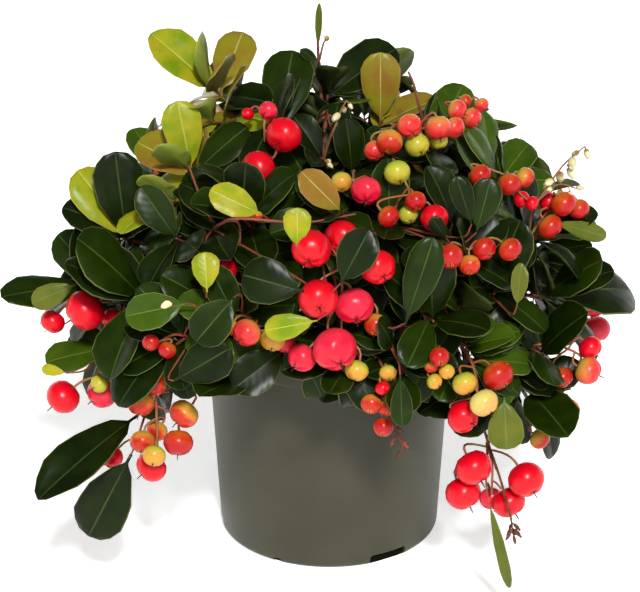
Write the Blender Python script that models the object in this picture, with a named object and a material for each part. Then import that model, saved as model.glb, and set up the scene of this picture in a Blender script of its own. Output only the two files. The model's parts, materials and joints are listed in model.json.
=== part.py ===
"""Wintergreen in a nursery pot: a low evergreen shrub with glossy leaves and red fruit.

The pot, its fill, the woody stems and every spray of foliage are separate solids. The frame has
+Z up, the pot's axis is the Z axis, the ground is z = 0 and the front of the plant faces -Y.
"""

import math
import random
from collections import Counter, namedtuple
from itertools import product

import bmesh
import bpy
from mathutils import Vector
from mathutils.bvhtree import BVHTree

MM = 0.001
FIT_GAP = 0.3 * MM

# Pot: a tapered plastic nursery pot with a rolled band at the rim
POT_HEIGHT = 92 * MM
RIM_RADIUS = 52.5 * MM
RIM_BAND = 9 * MM
WALL_TOP_RADIUS = 50.2 * MM
WALL_FOOT_RADIUS = 45.8 * MM
WALL = 1.2 * MM
FLOOR = 1.6 * MM
FOOT_ROUND = 3 * MM
POT_SIDES = 32
# Drain notches in the foot: bearing of the first, width and height; there are three of each
WIDE_NOTCH = (32, 17 * MM, 4 * MM)
NARROW_NOTCH = (-28, 4 * MM, 2.2 * MM)

# Fill of the pot: a level middle where the stems stand, falling a little to the wall
FILL_EDGE_HEIGHT = 80 * MM
FILL_TOP_HEIGHT = 83 * MM
FILL_LEVEL_RADIUS = 27 * MM

# Wood
STEM_FOOT_RADIUS = 1.9 * MM
STEM_TIP_RADIUS = 1.15 * MM
STEM_FLARE = 1.5
TWIG_RADIUS = 0.95 * MM
TWIG_TIP_RADIUS = 0.7 * MM
STALK_RADIUS = 0.5 * MM
STEM_SIDES = 5
TWIG_SIDES = 3
STEM_STEPS = 5
TWIG_STEPS = 3
SHARP_ANGLE = 40
SHORTEST_EDGE = 0.01 * MM
# A detached piece of a union with fewer triangles than this is a speck
SPECK_TRIANGLES = 10

# Foliage and fruit
GOLDEN_TURN = 137.5
LEAF_WIDTH_SHARE = 0.56
LEAF_THICKNESS_SHARE = 1 / 42
CLEARANCE = 0.35 * MM
# A leaf may touch its own spray up to this share of its length
LEAF_OWN_SHARE = 0.25
# Where along a twig from its tip the leaves with a place of their own are rooted
OWN_LEAF_STEPS = (1.5 * MM, 3 * MM, 4.5 * MM, 0.7 * MM)
OWN_LEAF_ARCH = 18
# How far a stalk bows up from a straight line, in the order they are tried
STALK_BOWS = (0.12, -0.08, 0.3, -0.25)
# How far behind its twig's middle a leaf is rooted
LEAF_ROOT_DEPTH = 0.3 * MM
# Fruit along its stalk, as a share of its size
FRUIT_PITCH = 0.42
# A fruit's middle from its foot on the stalk, out from the stalk and on along it, by its size
FRUIT_OUT = 0.66
FRUIT_ON = 0.22
END_FRUIT_ON = 0.91
FRUIT_HEIGHT_SHARE = 0.92
FRUIT_SHIFTS = (0, 35, -35, 70, -70, 110, -110, 150)
SIDE_TWIG_LEAVES = 2

Spray = namedtuple("Spray", "name place bearing rise leaves leaf_length tint turn")
Cluster = namedtuple("Cluster", "spray place bearing rise count size ripeness turn")
OwnLeaf = namedtuple("OwnLeaf", "spray bearing rise length tint width", defaults=[LEAF_WIDTH_SHARE])

# The sprays that show from the front. place is the heart of the spray in millimetres, bearing is
# the way it grows (0 towards the front, 90 to the right) and rise its angle above level.
FRONT_SPRAYS = [
    Spray("top_left", (-46, 0, 189), -55, 55, 5, 31, "lime", 20),
    Spray("upper_left", (-54, -34, 168), -45, 50, 5, 28, "lime", 80),
    Spray("left_shoulder", (-80, -36, 140), -62, 42, 5, 34, "dark", 150),
    Spray("left_back_top", (-70, 12, 152), -105, 48, 5, 26, "mid", 10),
    Spray("left_flank", (-72, -66, 127), -50, 18, 5, 37, "dark", 30),
    Spray("far_left", (-94, -16, 112), -85, 8, 5, 32, "dark", 200),
    Spray("left_low", (-88, -44, 96), -65, -8, 5, 27, "mid", 60),
    Spray("left_front", (-57, -84, 116), -32, 6, 5, 27, "dark", 110),
    Spray("left_hanging", (-75, -70, 79), -62, -45, 2, 40, "dark", 15),
    Spray("front_left", (-36, -88, 127), -15, 12, 5, 27, "mid", 170),
    Spray("front_left_low", (-34, -84, 100), -22, -25, 5, 31, "dark", 40),
    Spray("front_middle", (-2, -72, 161), 0, 32, 4, 26, "dark", 95),
    Spray("middle_low", (6, -88, 108), 5, -20, 4, 23, "dark", 0),
    Spray("middle_left", (-33, -62, 158), -20, 42, 5, 30, "dark", 250),
    Spray("left_inner", (-58, -60, 149), -40, 32, 5, 30, "dark", 320),
    Spray("top_left_inner", (-22, -20, 180), -12, 62, 5, 34, "dark", 45),
    Spray("top_middle", (-1, 4, 186), 0, 70, 5, 29, "dark", 100),
    Spray("top_twig", (-5, 10, 218), 180, 86, 2, 11, "mid", 60),
    Spray("upper_middle", (9, -46, 171), 8, 48, 4, 25, "dark", 215),
    Spray("top_right_inner", (21, 2, 176), 25, 66, 4, 29, "bronze", 0),
    Spray("top_right", (40, -18, 172), 40, 52, 5, 28, "dark", 75),
    Spray("top_right_back", (56, 18, 164), 70, 50, 5, 28, "mid", 140),
    Spray("right_inner", (22, -68, 158), 12, 38, 4, 27, "dark", 205),
    Spray("right_shoulder", (66, -32, 162), 55, 45, 5, 28, "mid", 330),
    Spray("right_upper", (82, -42, 143), 66, 18, 5, 27, "dark", 60),
    Spray("right_front", (50, -74, 146), 30, 28, 5, 27, "dark", 280),
    Spray("right_flank", (86, -42, 118), 68, 14, 5, 33, "dark", 25),
    Spray("right_low", (82, -60, 101), 55, -8, 5, 30, "dark", 130),
    Spray("right_low_hanging", (78, -58, 84), 52, -30, 4, 32, "dark", 190),
    Spray("front_right", (38, -86, 126), 20, 8, 5, 28, "dark", 70),
    Spray("front_right_low", (28, -88, 105), 12, -25, 4, 24, "dark", 240),
    Spray("right_fruiting", (54, -82, 106), 32, -10, 4, 25, "mid", 15),
    Spray("right_hanging", (64, -76, 60), 30, -75, 2, 24, "lime", 350),
    Spray("right_core", (62, -64, 128), 42, 10, 5, 28, "dark", 160),
]

# Fruit that shows from a step away. place is the middle of the cluster in millimetres, bearing
# and rise give the way its stalk runs there.
CLUSTERS = [
    Cluster("far_left", (-96, -48, 112), -80, 0, 3, 16.5, "red", 30),
    Cluster("left_low", (-90, -62, 87), -70, -10, 4, 13.5, "red", 60),
    Cluster("left_front", (-63, -92, 118), -40, -60, 3, 8, "orange", 110),
    Cluster("left_hanging", (-66, -80, 86), -10, -80, 8, 12.5, "orange", 15),
    Cluster("front_left", (-25, -96, 125), 60, -5, 5, 10.5, "orange", 170),
    Cluster("front_middle", (2, -98, 147), -10, -72, 7, 17.5, "red", 95),
    Cluster("middle_low", (10, -98, 113), 20, -60, 2, 11, "yellow", 0),
    Cluster("left_inner", (-38, -72, 149), -20, -30, 1, 14, "red", 0),
    Cluster("top_left_inner", (-23, -42, 183), -20, -70, 4, 14.5, "red", 45),
    Cluster("upper_middle", (8, -68, 172), 80, -5, 3, 12, "blush", 20),
    Cluster("top_right", (32, -46, 184), -75, -5, 7, 10.5, "blush", 75),
    Cluster("top_right_back", (55, 0, 181), 60, 30, 4, 10, "blush", 140),
    Cluster("right_inner", (27, -76, 171), 20, -60, 6, 10.5, "yellow", 205),
    Cluster("right_shoulder", (68, -54, 167), 70, -10, 5, 11, "orange", 330),
    Cluster("right_upper", (85, -46, 151), 85, -5, 4, 12, "orange", 60),
    Cluster("right_front", (54, -86, 149), 90, 5, 5, 11.5, "orange", 280),
    Cluster("right_low", (96, -62, 98), 60, -60, 4, 11.5, "red", 130),
    Cluster("right_low_hanging", (85, -72, 78), -60, -50, 2, 12, "blush", 190),
    Cluster("front_right_low", (18, -98, 93), -10, -70, 4, 9, "orange", 240),
    Cluster("front_right", (39, -98, 113), 60, -20, 3, 9, "blush", 240),
    Cluster("right_fruiting", (55, -94, 100), 20, -70, 5, 13, "red", 15),
    Cluster("right_hanging", (62, -82, 58), 60, -60, 4, 15.5, "red", 90),
]

# Leaves with a place of their own in the outline, set on the tip of their spray's main twig
OWN_LEAVES = [
    OwnLeaf("far_left", -44, 8, 47, "dark", 0.45),
    OwnLeaf("far_left", -7, 46, 38, "dark"),
    OwnLeaf("left_hanging", -41, -21, 53, "dark", 0.45),
    OwnLeaf("left_hanging", -64, -65, 49, "dark", 0.42),
    OwnLeaf("left_low", -60, -4, 26, "mid"),
    OwnLeaf("left_flank", -43, 43, 40, "dark"),
    OwnLeaf("left_shoulder", -28, 72, 36, "dark"),
    OwnLeaf("left_shoulder", -104, 47, 34, "lime"),
    OwnLeaf("left_back_top", -140, 35, 24, "mid"),
    OwnLeaf("upper_left", -94, 72, 28, "lime"),
    OwnLeaf("upper_left", 104, 35, 28, "dark"),
    OwnLeaf("top_left", -97, 37, 35, "lime"),
    OwnLeaf("top_left", 153, 42, 30, "lime"),
    OwnLeaf("top_left", 46, 3, 26, "dark"),
    OwnLeaf("top_left_inner", 165, 47, 37, "dark"),
    OwnLeaf("top_left_inner", 27, -29, 34, "dark"),
    OwnLeaf("middle_left", 1, 46, 30, "dark"),
    OwnLeaf("top_middle", 119, 23, 37, "dark"),
    OwnLeaf("top_middle", 155, 47, 25, "dark"),
    OwnLeaf("top_middle", -39, 30, 30, "dark"),
    OwnLeaf("top_right_inner", -5, 76, 29, "bronze"),
    OwnLeaf("top_right", 139, 44, 30, "mid"),
    OwnLeaf("right_shoulder", 143, 22, 26, "mid"),
    OwnLeaf("right_upper", 129, -10, 36, "mid"),
    OwnLeaf("right_flank", 124, -12, 48, "dark"),
    OwnLeaf("right_flank", 39, 36, 34, "dark"),
    OwnLeaf("right_core", 32, 59, 34, "dark"),
    OwnLeaf("right_low", 28, 41, 34, "dark"),
    OwnLeaf("right_low_hanging", 18, -6, 36, "dark"),
    OwnLeaf("right_hanging", 31, -75, 47, "mid", 0.2),
    OwnLeaf("right_hanging", -20, 53, 24, "lime"),
    OwnLeaf("front_right", -7, 61, 34, "dark"),
    OwnLeaf("front_right_low", -3, -16, 24, "dark"),
    OwnLeaf("front_left_low", -22, 11, 33, "dark"),
    OwnLeaf("front_middle", 26, -42, 28, "dark"),
]

# The rest of the crown: rings of sprays round the back, evenly turned
BACK_RINGS = [
    # height of the heart, distance from the pot's axis, sprays, first and last bearing, rise
    (98, 94, 6, 96, 258, -6),
    (132, 88, 6, 110, 250, 20),
    (165, 54, 4, 122, 232, 50),
]
BACK_LEAVES = 4
BACK_LEAF_LENGTH = 30
BACK_FRUITS = (3, 0, 2, 0, 3, 0)
BACK_FRUIT_SIZE = 12.5
BACK_FRUIT_REACH = 13

# Stems: bearing, distance of the foot and of the tip from the pot's axis, height of the tip
STEMS = [
    (-80, 15, 48, 128),
    (-40, 17, 48, 134),
    (0, 16, 40, 128),
    (42, 17, 50, 134),
    (84, 15, 48, 128),
    (135, 15, 46, 130),
    (215, 15, 46, 130),
    (20, 3, 8, 166),
]

# Leaves down a twig from its tip: length against the spray's own, and angle from the twig
LEAF_SIZES = (0.85, 0.97, 1.06, 1.0, 0.92)
LEAF_LIFTS = (32, 48, 60, 68, 76)
LEAF_SPACING = 4.2 * MM
LEAF_ARCH = 28
LEAF_UPTURN = 0.12

LEAF_COLOURS = {
    "dark": (0.015, 0.055, 0.012),
    "mid": (0.05, 0.13, 0.018),
    "lime": (0.21, 0.27, 0.022),
    "bronze": (0.15, 0.15, 0.03),
}
FRUIT_COLOURS = {
    "red": (0.6, 0.012, 0.02),
    "blush": (0.5, 0.09, 0.05),
    "orange": (0.5, 0.12, 0.02),
    "yellow": (0.45, 0.32, 0.05),
}
BARK, FOLIAGE, FRUIT = 0, 1, 2

UP = Vector((0, 0, 1))
BACKWARDS = Vector((0, 1, 0))
# The way the leaves with a place of their own turn their faces: up and to the front
OWN_LEAF_LIGHT = Vector((0, -0.6, 0.8))


def heading(bearing, rise):
    """The unit way from a bearing (0 towards the front, 90 to the right) and a rise above level."""
    turn, lift = math.radians(bearing), math.radians(rise)
    return Vector((math.sin(turn) * math.cos(lift), -math.cos(turn) * math.cos(lift), math.sin(lift)))


def square_to(axis, way):
    """The unit way square to an axis that is nearest to another way."""
    return (way - axis * way.dot(axis)).normalized()


def across(axis, clock, top=None):
    """The unit way square to an axis, at an hour angle seen from the axis's own tip (0 is the top)."""
    if top is None:
        top = square_to(axis, UP if abs(axis.z) < 0.999 else BACKWARDS)
    turn = math.radians(clock)
    return top * math.cos(turn) + top.cross(axis) * math.sin(turn)


def curve_point(route, share):
    """The point at a share of the way along a cubic curve of four control points."""
    a, b, c, d = route
    rest = 1 - share
    return a * rest**3 + b * (3 * rest**2 * share) + c * (3 * rest * share**2) + d * share**3


def along_curve(route, steps):
    """Evenly shared points along a cubic curve, both ends with them."""
    return [curve_point(route, step / steps) for step in range(steps + 1)]


def curve_way(route, share):
    """The unit way along a cubic curve at a share of its length."""
    near, far = max(share - 0.02, 0), min(share + 0.02, 1)
    return (curve_point(route, far) - curve_point(route, near)).normalized()


def tube(points, radii, sides, first_way=None):
    """A closed tapering limb through the points, as vertices and faces."""
    vertices, faces = [], []
    top = None
    for index, (point, radius) in enumerate(zip(points, radii)):
        before, after = points[max(index - 1, 0)], points[min(index + 1, len(points) - 1)]
        axis = (after - before).normalized()
        if index == 0 and first_way is not None:
            axis = first_way
        # Each ring takes its top from the ring before, so the limb has no twist
        top = across(axis, 0) if top is None else square_to(axis, top)
        for side in range(sides):
            vertices.append(point + across(axis, 360 * side / sides, top) * radius)
    for index in range(len(points) - 1):
        for side in range(sides):
            low, next_low = index * sides + side, index * sides + (side + 1) % sides
            faces.append((low, low + sides, next_low + sides, next_low))
    faces.append(tuple(range(sides)))
    faces.append(tuple(reversed(range(len(vertices) - sides, len(vertices)))))
    return vertices, faces


# A leaf's two wide places: share of its length, and half-width as a share of its greatest
LEAF_STATIONS = ((0.30, 0.90), (0.68, 0.92))
LEAF_KEEL_SHARE = 0.33
# The face above the keel is level, so a leaf is as thick as its keel is deep
LEAF_FACES = (
    (0, 1, 2), (1, 3, 4, 2), (3, 5, 4),
    (0, 6, 1), (1, 6, 3), (3, 6, 5), (5, 6, 4), (4, 6, 2), (2, 6, 0),
)


def leaf_solid(leaf, grown=0.0, first=0.0):
    """A leaf as vertices and faces: root, two wide places, tip, and a keel point below.

    The leaf leaves its root along its way, bends down from its upper face by its arch, and can be
    grown on all sides for clearance tests, or start at a share of its length past its root.
    """
    root, along, face, length, arch, width_share = leaf
    side = along.cross(face).normalized()
    bend = math.radians(arch)
    half_width = length * width_share / 2

    def midrib(share):
        angle = bend * share
        reach = length * (math.sin(angle) / bend)
        sag = length * ((1 - math.cos(angle)) / bend)
        return root + along * reach - face * sag

    def lifted(share):
        return face * math.cos(bend * share) + along * math.sin(bend * share)

    vertices = [midrib(first) + face * grown]
    for share, width in LEAF_STATIONS:
        edge = side * (half_width * width + grown)
        top = midrib(share) + lifted(share) * grown
        vertices += [top + edge, top - edge]
    vertices.append(midrib(1.0) + along * grown)
    depth = length * LEAF_THICKNESS_SHARE + grown
    vertices.append(midrib(LEAF_KEEL_SHARE) - lifted(LEAF_KEEL_SHARE) * depth)
    return vertices, LEAF_FACES


def ball():
    """A unit ball of twenty faces with the middle of one face at its foot."""
    shell = bmesh.new()
    bmesh.ops.create_icosphere(shell, subdivisions=1, radius=1)
    shell.faces.ensure_lookup_table()
    turn = shell.faces[0].normal.rotation_difference(-UP)
    vertices = [turn @ vertex.co for vertex in shell.verts]
    faces = [tuple(vertex.index for vertex in face.verts) for face in shell.faces]
    shell.free()
    return vertices, faces


BALL = ball()


def fruit_solid(centre, axis, size):
    """A fruit as vertices and faces: a slightly flattened ball with its foot on the stalk."""
    turn = UP.rotation_difference(axis)
    vertices = []
    for point in BALL[0]:
        flat = Vector((point.x, point.y, point.z * FRUIT_HEIGHT_SHARE))
        vertices.append(centre + turn @ flat * (size / 2))
    return vertices, BALL[1]


class Room:
    """Everything placed so far, so that each new twig, fruit and leaf can be kept clear of it."""

    def __init__(self):
        self.items = []

    @staticmethod
    def box(vertices):
        low = [min(v[i] for v in vertices) for i in range(3)]
        high = [max(v[i] for v in vertices) for i in range(3)]
        return low, high

    def add(self, shape, owner):
        self.items.append((self.box(shape[0]), BVHTree.FromPolygons(*shape), owner))

    def near(self, low, high, without=None):
        """What was placed by others where its box meets the box between two corners."""
        for (item_low, item_high), tree, owner in self.items:
            meets = all(low[i] < item_high[i] and high[i] > item_low[i] for i in range(3))
            if meets and owner != without:
                yield tree

    def touches(self, shape, without=None):
        """Whether a shape meets anything placed so far, apart from what one owner placed."""
        low, high = self.box(shape[0])
        own_tree = BVHTree.FromPolygons(*shape)
        return any(own_tree.overlap(tree) for tree in self.near(low, high, without))

    def crowds(self, centre, radius):
        """Whether anything lies within a radius of a point."""
        low, high = [c - radius for c in centre], [c + radius for c in centre]
        return any(tree.find_nearest(centre, radius)[0] is not None for tree in self.near(low, high))


room = Room()


def material(name, colour, roughness, metallic=0.0):
    """A plain surface with one colour."""
    surface = bpy.data.materials.new(name)
    surface.use_nodes = True
    shader = surface.node_tree.nodes["Principled BSDF"]
    shader.inputs["Base Color"].default_value = (*colour, 1)
    shader.inputs["Roughness"].default_value = roughness
    shader.inputs["Metallic"].default_value = metallic
    return surface


def mesh_object(name, shape, surfaces, surface=0):
    """An object from vertices and faces, smooth but for its sharp edges."""
    mesh = bpy.data.meshes.new(name)
    mesh.from_pydata(shape[0], [], shape[1])
    for each in surfaces:
        mesh.materials.append(each)
    mesh.polygons.foreach_set("material_index", [surface] * len(mesh.polygons))
    mesh.shade_smooth()
    mesh.set_sharp_from_angle(angle=math.radians(SHARP_ANGLE))
    return bpy.data.objects.new(name, mesh)


def turned(profile, sides):
    """A turned solid from a profile of radius and height, which starts and ends on the axis."""
    vertices, rings = [], []
    for radius, height in profile:
        count = sides if radius > 0 else 1
        rings.append(range(len(vertices), len(vertices) + count))
        for side in range(count):
            vertices.append(heading(360 * side / sides, 0) * radius + UP * height)
    faces = []
    for lower, upper in zip(rings, rings[1:]):
        for side in range(sides):
            corners = [
                lower[side % len(lower)],
                lower[(side + 1) % sides % len(lower)],
                upper[(side + 1) % sides % len(upper)],
                upper[side % len(upper)],
            ]
            faces.append(tuple(dict.fromkeys(corners)))
    return vertices, faces


def box_across(bearing, inner, outer, width, low, high):
    """A box that lies along a bearing, between two distances from the axis."""
    out, side = heading(bearing, 0), heading(bearing + 90, 0)
    vertices = [
        out * reach + side * shift + UP * height
        for height in (low, high)
        for reach, shift in (
            (inner, -width / 2),
            (outer, -width / 2),
            (outer, width / 2),
            (inner, width / 2),
        )
    ]
    faces = [(0, 3, 2, 1), (4, 5, 6, 7), (0, 1, 5, 4), (1, 2, 6, 5), (2, 3, 7, 6), (3, 0, 4, 7)]
    return vertices, faces


def combine(solid, parts, operation):
    """Join a list of objects to a solid, or cut them from it, and remove them."""
    group = bpy.data.collections.new(solid.name + "_parts")
    for each in parts:
        group.objects.link(each)
    boolean = solid.modifiers.new("combine", "BOOLEAN")
    boolean.operation = operation
    boolean.operand_type = "COLLECTION"
    boolean.collection = group
    for solver in ("EXACT", "MANIFOLD"):
        boolean.solver = solver
        depsgraph = bpy.context.evaluated_depsgraph_get()
        result = in_triangles(bpy.data.meshes.new_from_object(solid.evaluated_get(depsgraph)))
        if result is not None:
            break
    else:
        raise ValueError(f"{solid.name} does not join into one body")
    solid.modifiers.remove(boolean)
    solid.data = result
    for each in parts:
        bpy.data.objects.remove(each)
    bpy.data.collections.remove(group)
    result.shade_smooth()
    result.set_sharp_from_angle(angle=math.radians(SHARP_ANGLE))


def in_triangles(mesh):
    """The mesh in triangles, without its shortest edges where it stays one body without them."""
    for shortest in (SHORTEST_EDGE, SHORTEST_EDGE / 10, SHORTEST_EDGE / 100):
        shell = bmesh.new()
        shell.from_mesh(mesh)
        bmesh.ops.remove_doubles(shell, verts=shell.verts, dist=shortest)
        bmesh.ops.dissolve_degenerate(shell, edges=shell.edges, dist=shortest / 10)
        between_two_faces = [vertex for vertex in shell.verts if len(vertex.link_edges) == 2]
        bmesh.ops.dissolve_verts(shell, verts=between_two_faces)
        bmesh.ops.triangulate(shell, faces=shell.faces)
        specks = sorted(bodies(shell), key=len)[:-1]
        whole = all(len(speck) < SPECK_TRIANGLES for speck in specks)
        bmesh.ops.delete(shell, geom=[face for speck in specks for face in speck], context="FACES")
        whole = whole and shell.faces and all(len(edge.link_faces) == 2 for edge in shell.edges)
        cut = mesh.copy()
        shell.to_mesh(cut)
        shell.free()
        if whole:
            return cut
    return None


def bodies(shell):
    """The faces of each body, which hold together over their edges."""
    left = set(shell.faces)
    while left:
        body, waiting = set(), [next(iter(left))]
        while waiting:
            face = waiting.pop()
            if face not in body:
                body.add(face)
                waiting += [other for edge in face.edges for other in edge.link_faces]
        left -= body
        yield body


def link(thing):
    bpy.context.scene.collection.objects.link(thing)
    return thing


def wall_radius(height):
    """The outer radius of the pot's wall at a height."""
    share = (height - FOOT_ROUND) / (POT_HEIGHT - RIM_BAND - FOOT_ROUND)
    return WALL_FOOT_RADIUS + (WALL_TOP_RADIUS - WALL_FOOT_RADIUS) * share


def make_pot():
    """The pot: a tapered wall with a rolled band round the rim and drain notches in the foot."""
    rounding = [
        (
            WALL_FOOT_RADIUS - FOOT_ROUND + FOOT_ROUND * math.sin(math.radians(angle)),
            FOOT_ROUND - FOOT_ROUND * math.cos(math.radians(angle)),
        )
        for angle in (0, 45, 90)
    ]
    band_foot = POT_HEIGHT - RIM_BAND
    edge = WALL
    profile = [(0, 0)]
    profile += rounding
    profile += [
        (WALL_TOP_RADIUS, band_foot),
        (RIM_RADIUS, band_foot + edge / 2),
        (RIM_RADIUS, POT_HEIGHT - edge),
        (RIM_RADIUS - edge, POT_HEIGHT),
        (WALL_TOP_RADIUS - WALL, POT_HEIGHT),
        (WALL_FOOT_RADIUS - WALL, FOOT_ROUND + FLOOR),
        (WALL_FOOT_RADIUS - WALL - FOOT_ROUND / 2, FLOOR),
        (0, FLOOR),
    ]
    plastic = material("grey_plastic", (0.122, 0.115, 0.09), 0.45)
    pot = link(mesh_object("pot", turned(profile, POT_SIDES), [plastic]))
    cutters = []
    for bearing, width, height in (WIDE_NOTCH, NARROW_NOTCH):
        for turn in (0, 120, 240):
            inner, outer = WALL_FOOT_RADIUS - 2 * FOOT_ROUND, RIM_RADIUS
            shape = box_across(bearing + turn, inner, outer, width, -height, height)
            cutters.append(mesh_object("notch", shape, [plastic]))
    combine(pot, cutters, "DIFFERENCE")


def make_fill():
    """The fill that carries the stems, clear of the pot by the fitting gap."""
    inner_foot = WALL_FOOT_RADIUS - WALL - FIT_GAP
    profile = [
        (0, FLOOR + FIT_GAP),
        (inner_foot - FOOT_ROUND, FLOOR + FIT_GAP),
        (inner_foot - FIT_GAP, FOOT_ROUND + FLOOR + 2 * FIT_GAP),
        (wall_radius(FILL_EDGE_HEIGHT) - WALL - 2 * FIT_GAP, FILL_EDGE_HEIGHT),
        (FILL_LEVEL_RADIUS, FILL_TOP_HEIGHT),
        (0, FILL_TOP_HEIGHT),
    ]
    mix = material("potting_mix", (0.03, 0.02, 0.013), 0.95)
    link(mesh_object("potting_mix", turned(profile, POT_SIDES), [mix]))


class Stem:
    """One tapering woody stem, from a flat cut on the fill to its tip inside the crown."""

    def __init__(self, index, bearing, foot_reach, tip_reach, tip_height):
        self.name = f"stem_{index}"
        foot = heading(bearing, 0) * foot_reach * MM + UP * (FILL_TOP_HEIGHT + FIT_GAP)
        tip = heading(bearing, 0) * tip_reach * MM + UP * tip_height * MM
        rise = tip.z - foot.z
        lean = heading(bearing, 35)
        self.route = (foot, foot + UP * rise * 0.45, tip - lean * rise * 0.5, tip)

    def radius(self, share):
        taper = STEM_FOOT_RADIUS + (STEM_TIP_RADIUS - STEM_FOOT_RADIUS) * share
        flare = 1 + (STEM_FLARE - 1) * max(0, 1 - share / 0.15)
        return taper * flare

    def make(self, bark):
        shares = [step / STEM_STEPS for step in range(STEM_STEPS + 1)]
        points = [curve_point(self.route, share) for share in shares]
        shape = tube(points, [self.radius(share) for share in shares], STEM_SIDES, UP)
        room.add(shape, self.name)
        self.tree = BVHTree.FromPolygons(*shape)
        link(mesh_object(self.name, shape, [bark]))

    def seat(self, share, leave, radius):
        """Where a twig's cut end, of a given radius, stands clear of the stem by the gap."""
        middle, way = curve_point(self.route, share), curve_way(self.route, share)
        slant = math.sqrt(max(1 - leave.dot(way) ** 2, 0.01))
        reach = FIT_GAP if share == 1 else (self.radius(share) + FIT_GAP) / slant
        while True:
            centre = middle + leave * reach
            rim = [centre] + [
                centre + across(leave, 360 * side / TWIG_SIDES) * radius for side in range(TWIG_SIDES)
            ]
            if all(self.tree.find_nearest(point)[3] >= FIT_GAP for point in rim):
                return centre
            reach += 0.05 * MM


class Limb:
    """A limb of straight runs through points, tapering from its root to its tip."""

    def __init__(self, points, first_radius, last_radius, first_way=None):
        self.points = points
        steps = len(points) - 1
        taper = (last_radius - first_radius) / steps
        self.radii = [first_radius + taper * step for step in range(steps + 1)]
        self.runs = [(after - before).length for before, after in zip(points, points[1:])]
        self.length = sum(self.runs)
        self.shape = tube(points, self.radii, TWIG_SIDES, first_way)

    def at(self, from_tip):
        """The point in the middle of the limb at a distance from its tip, and the limb's way there."""
        for index in reversed(range(len(self.runs))):
            before, after = self.points[index], self.points[index + 1]
            if from_tip <= self.runs[index] or index == 0:
                way = (after - before).normalized()
                return after - way * min(from_tip, self.runs[index]), way
            from_tip -= self.runs[index]

    def envelope(self, without=0.0):
        """The limb's space with the clearance round it, but for a length at its root."""
        first, way = self.at(self.length - without)
        later = [point for point in self.points[1:] if (point - first).dot(way) > 0.1 * MM]
        grown = (max(self.radii) + CLEARANCE) / math.cos(math.pi / 6)
        return tube([first] + later, [grown] * (len(later) + 1), 6)


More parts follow.
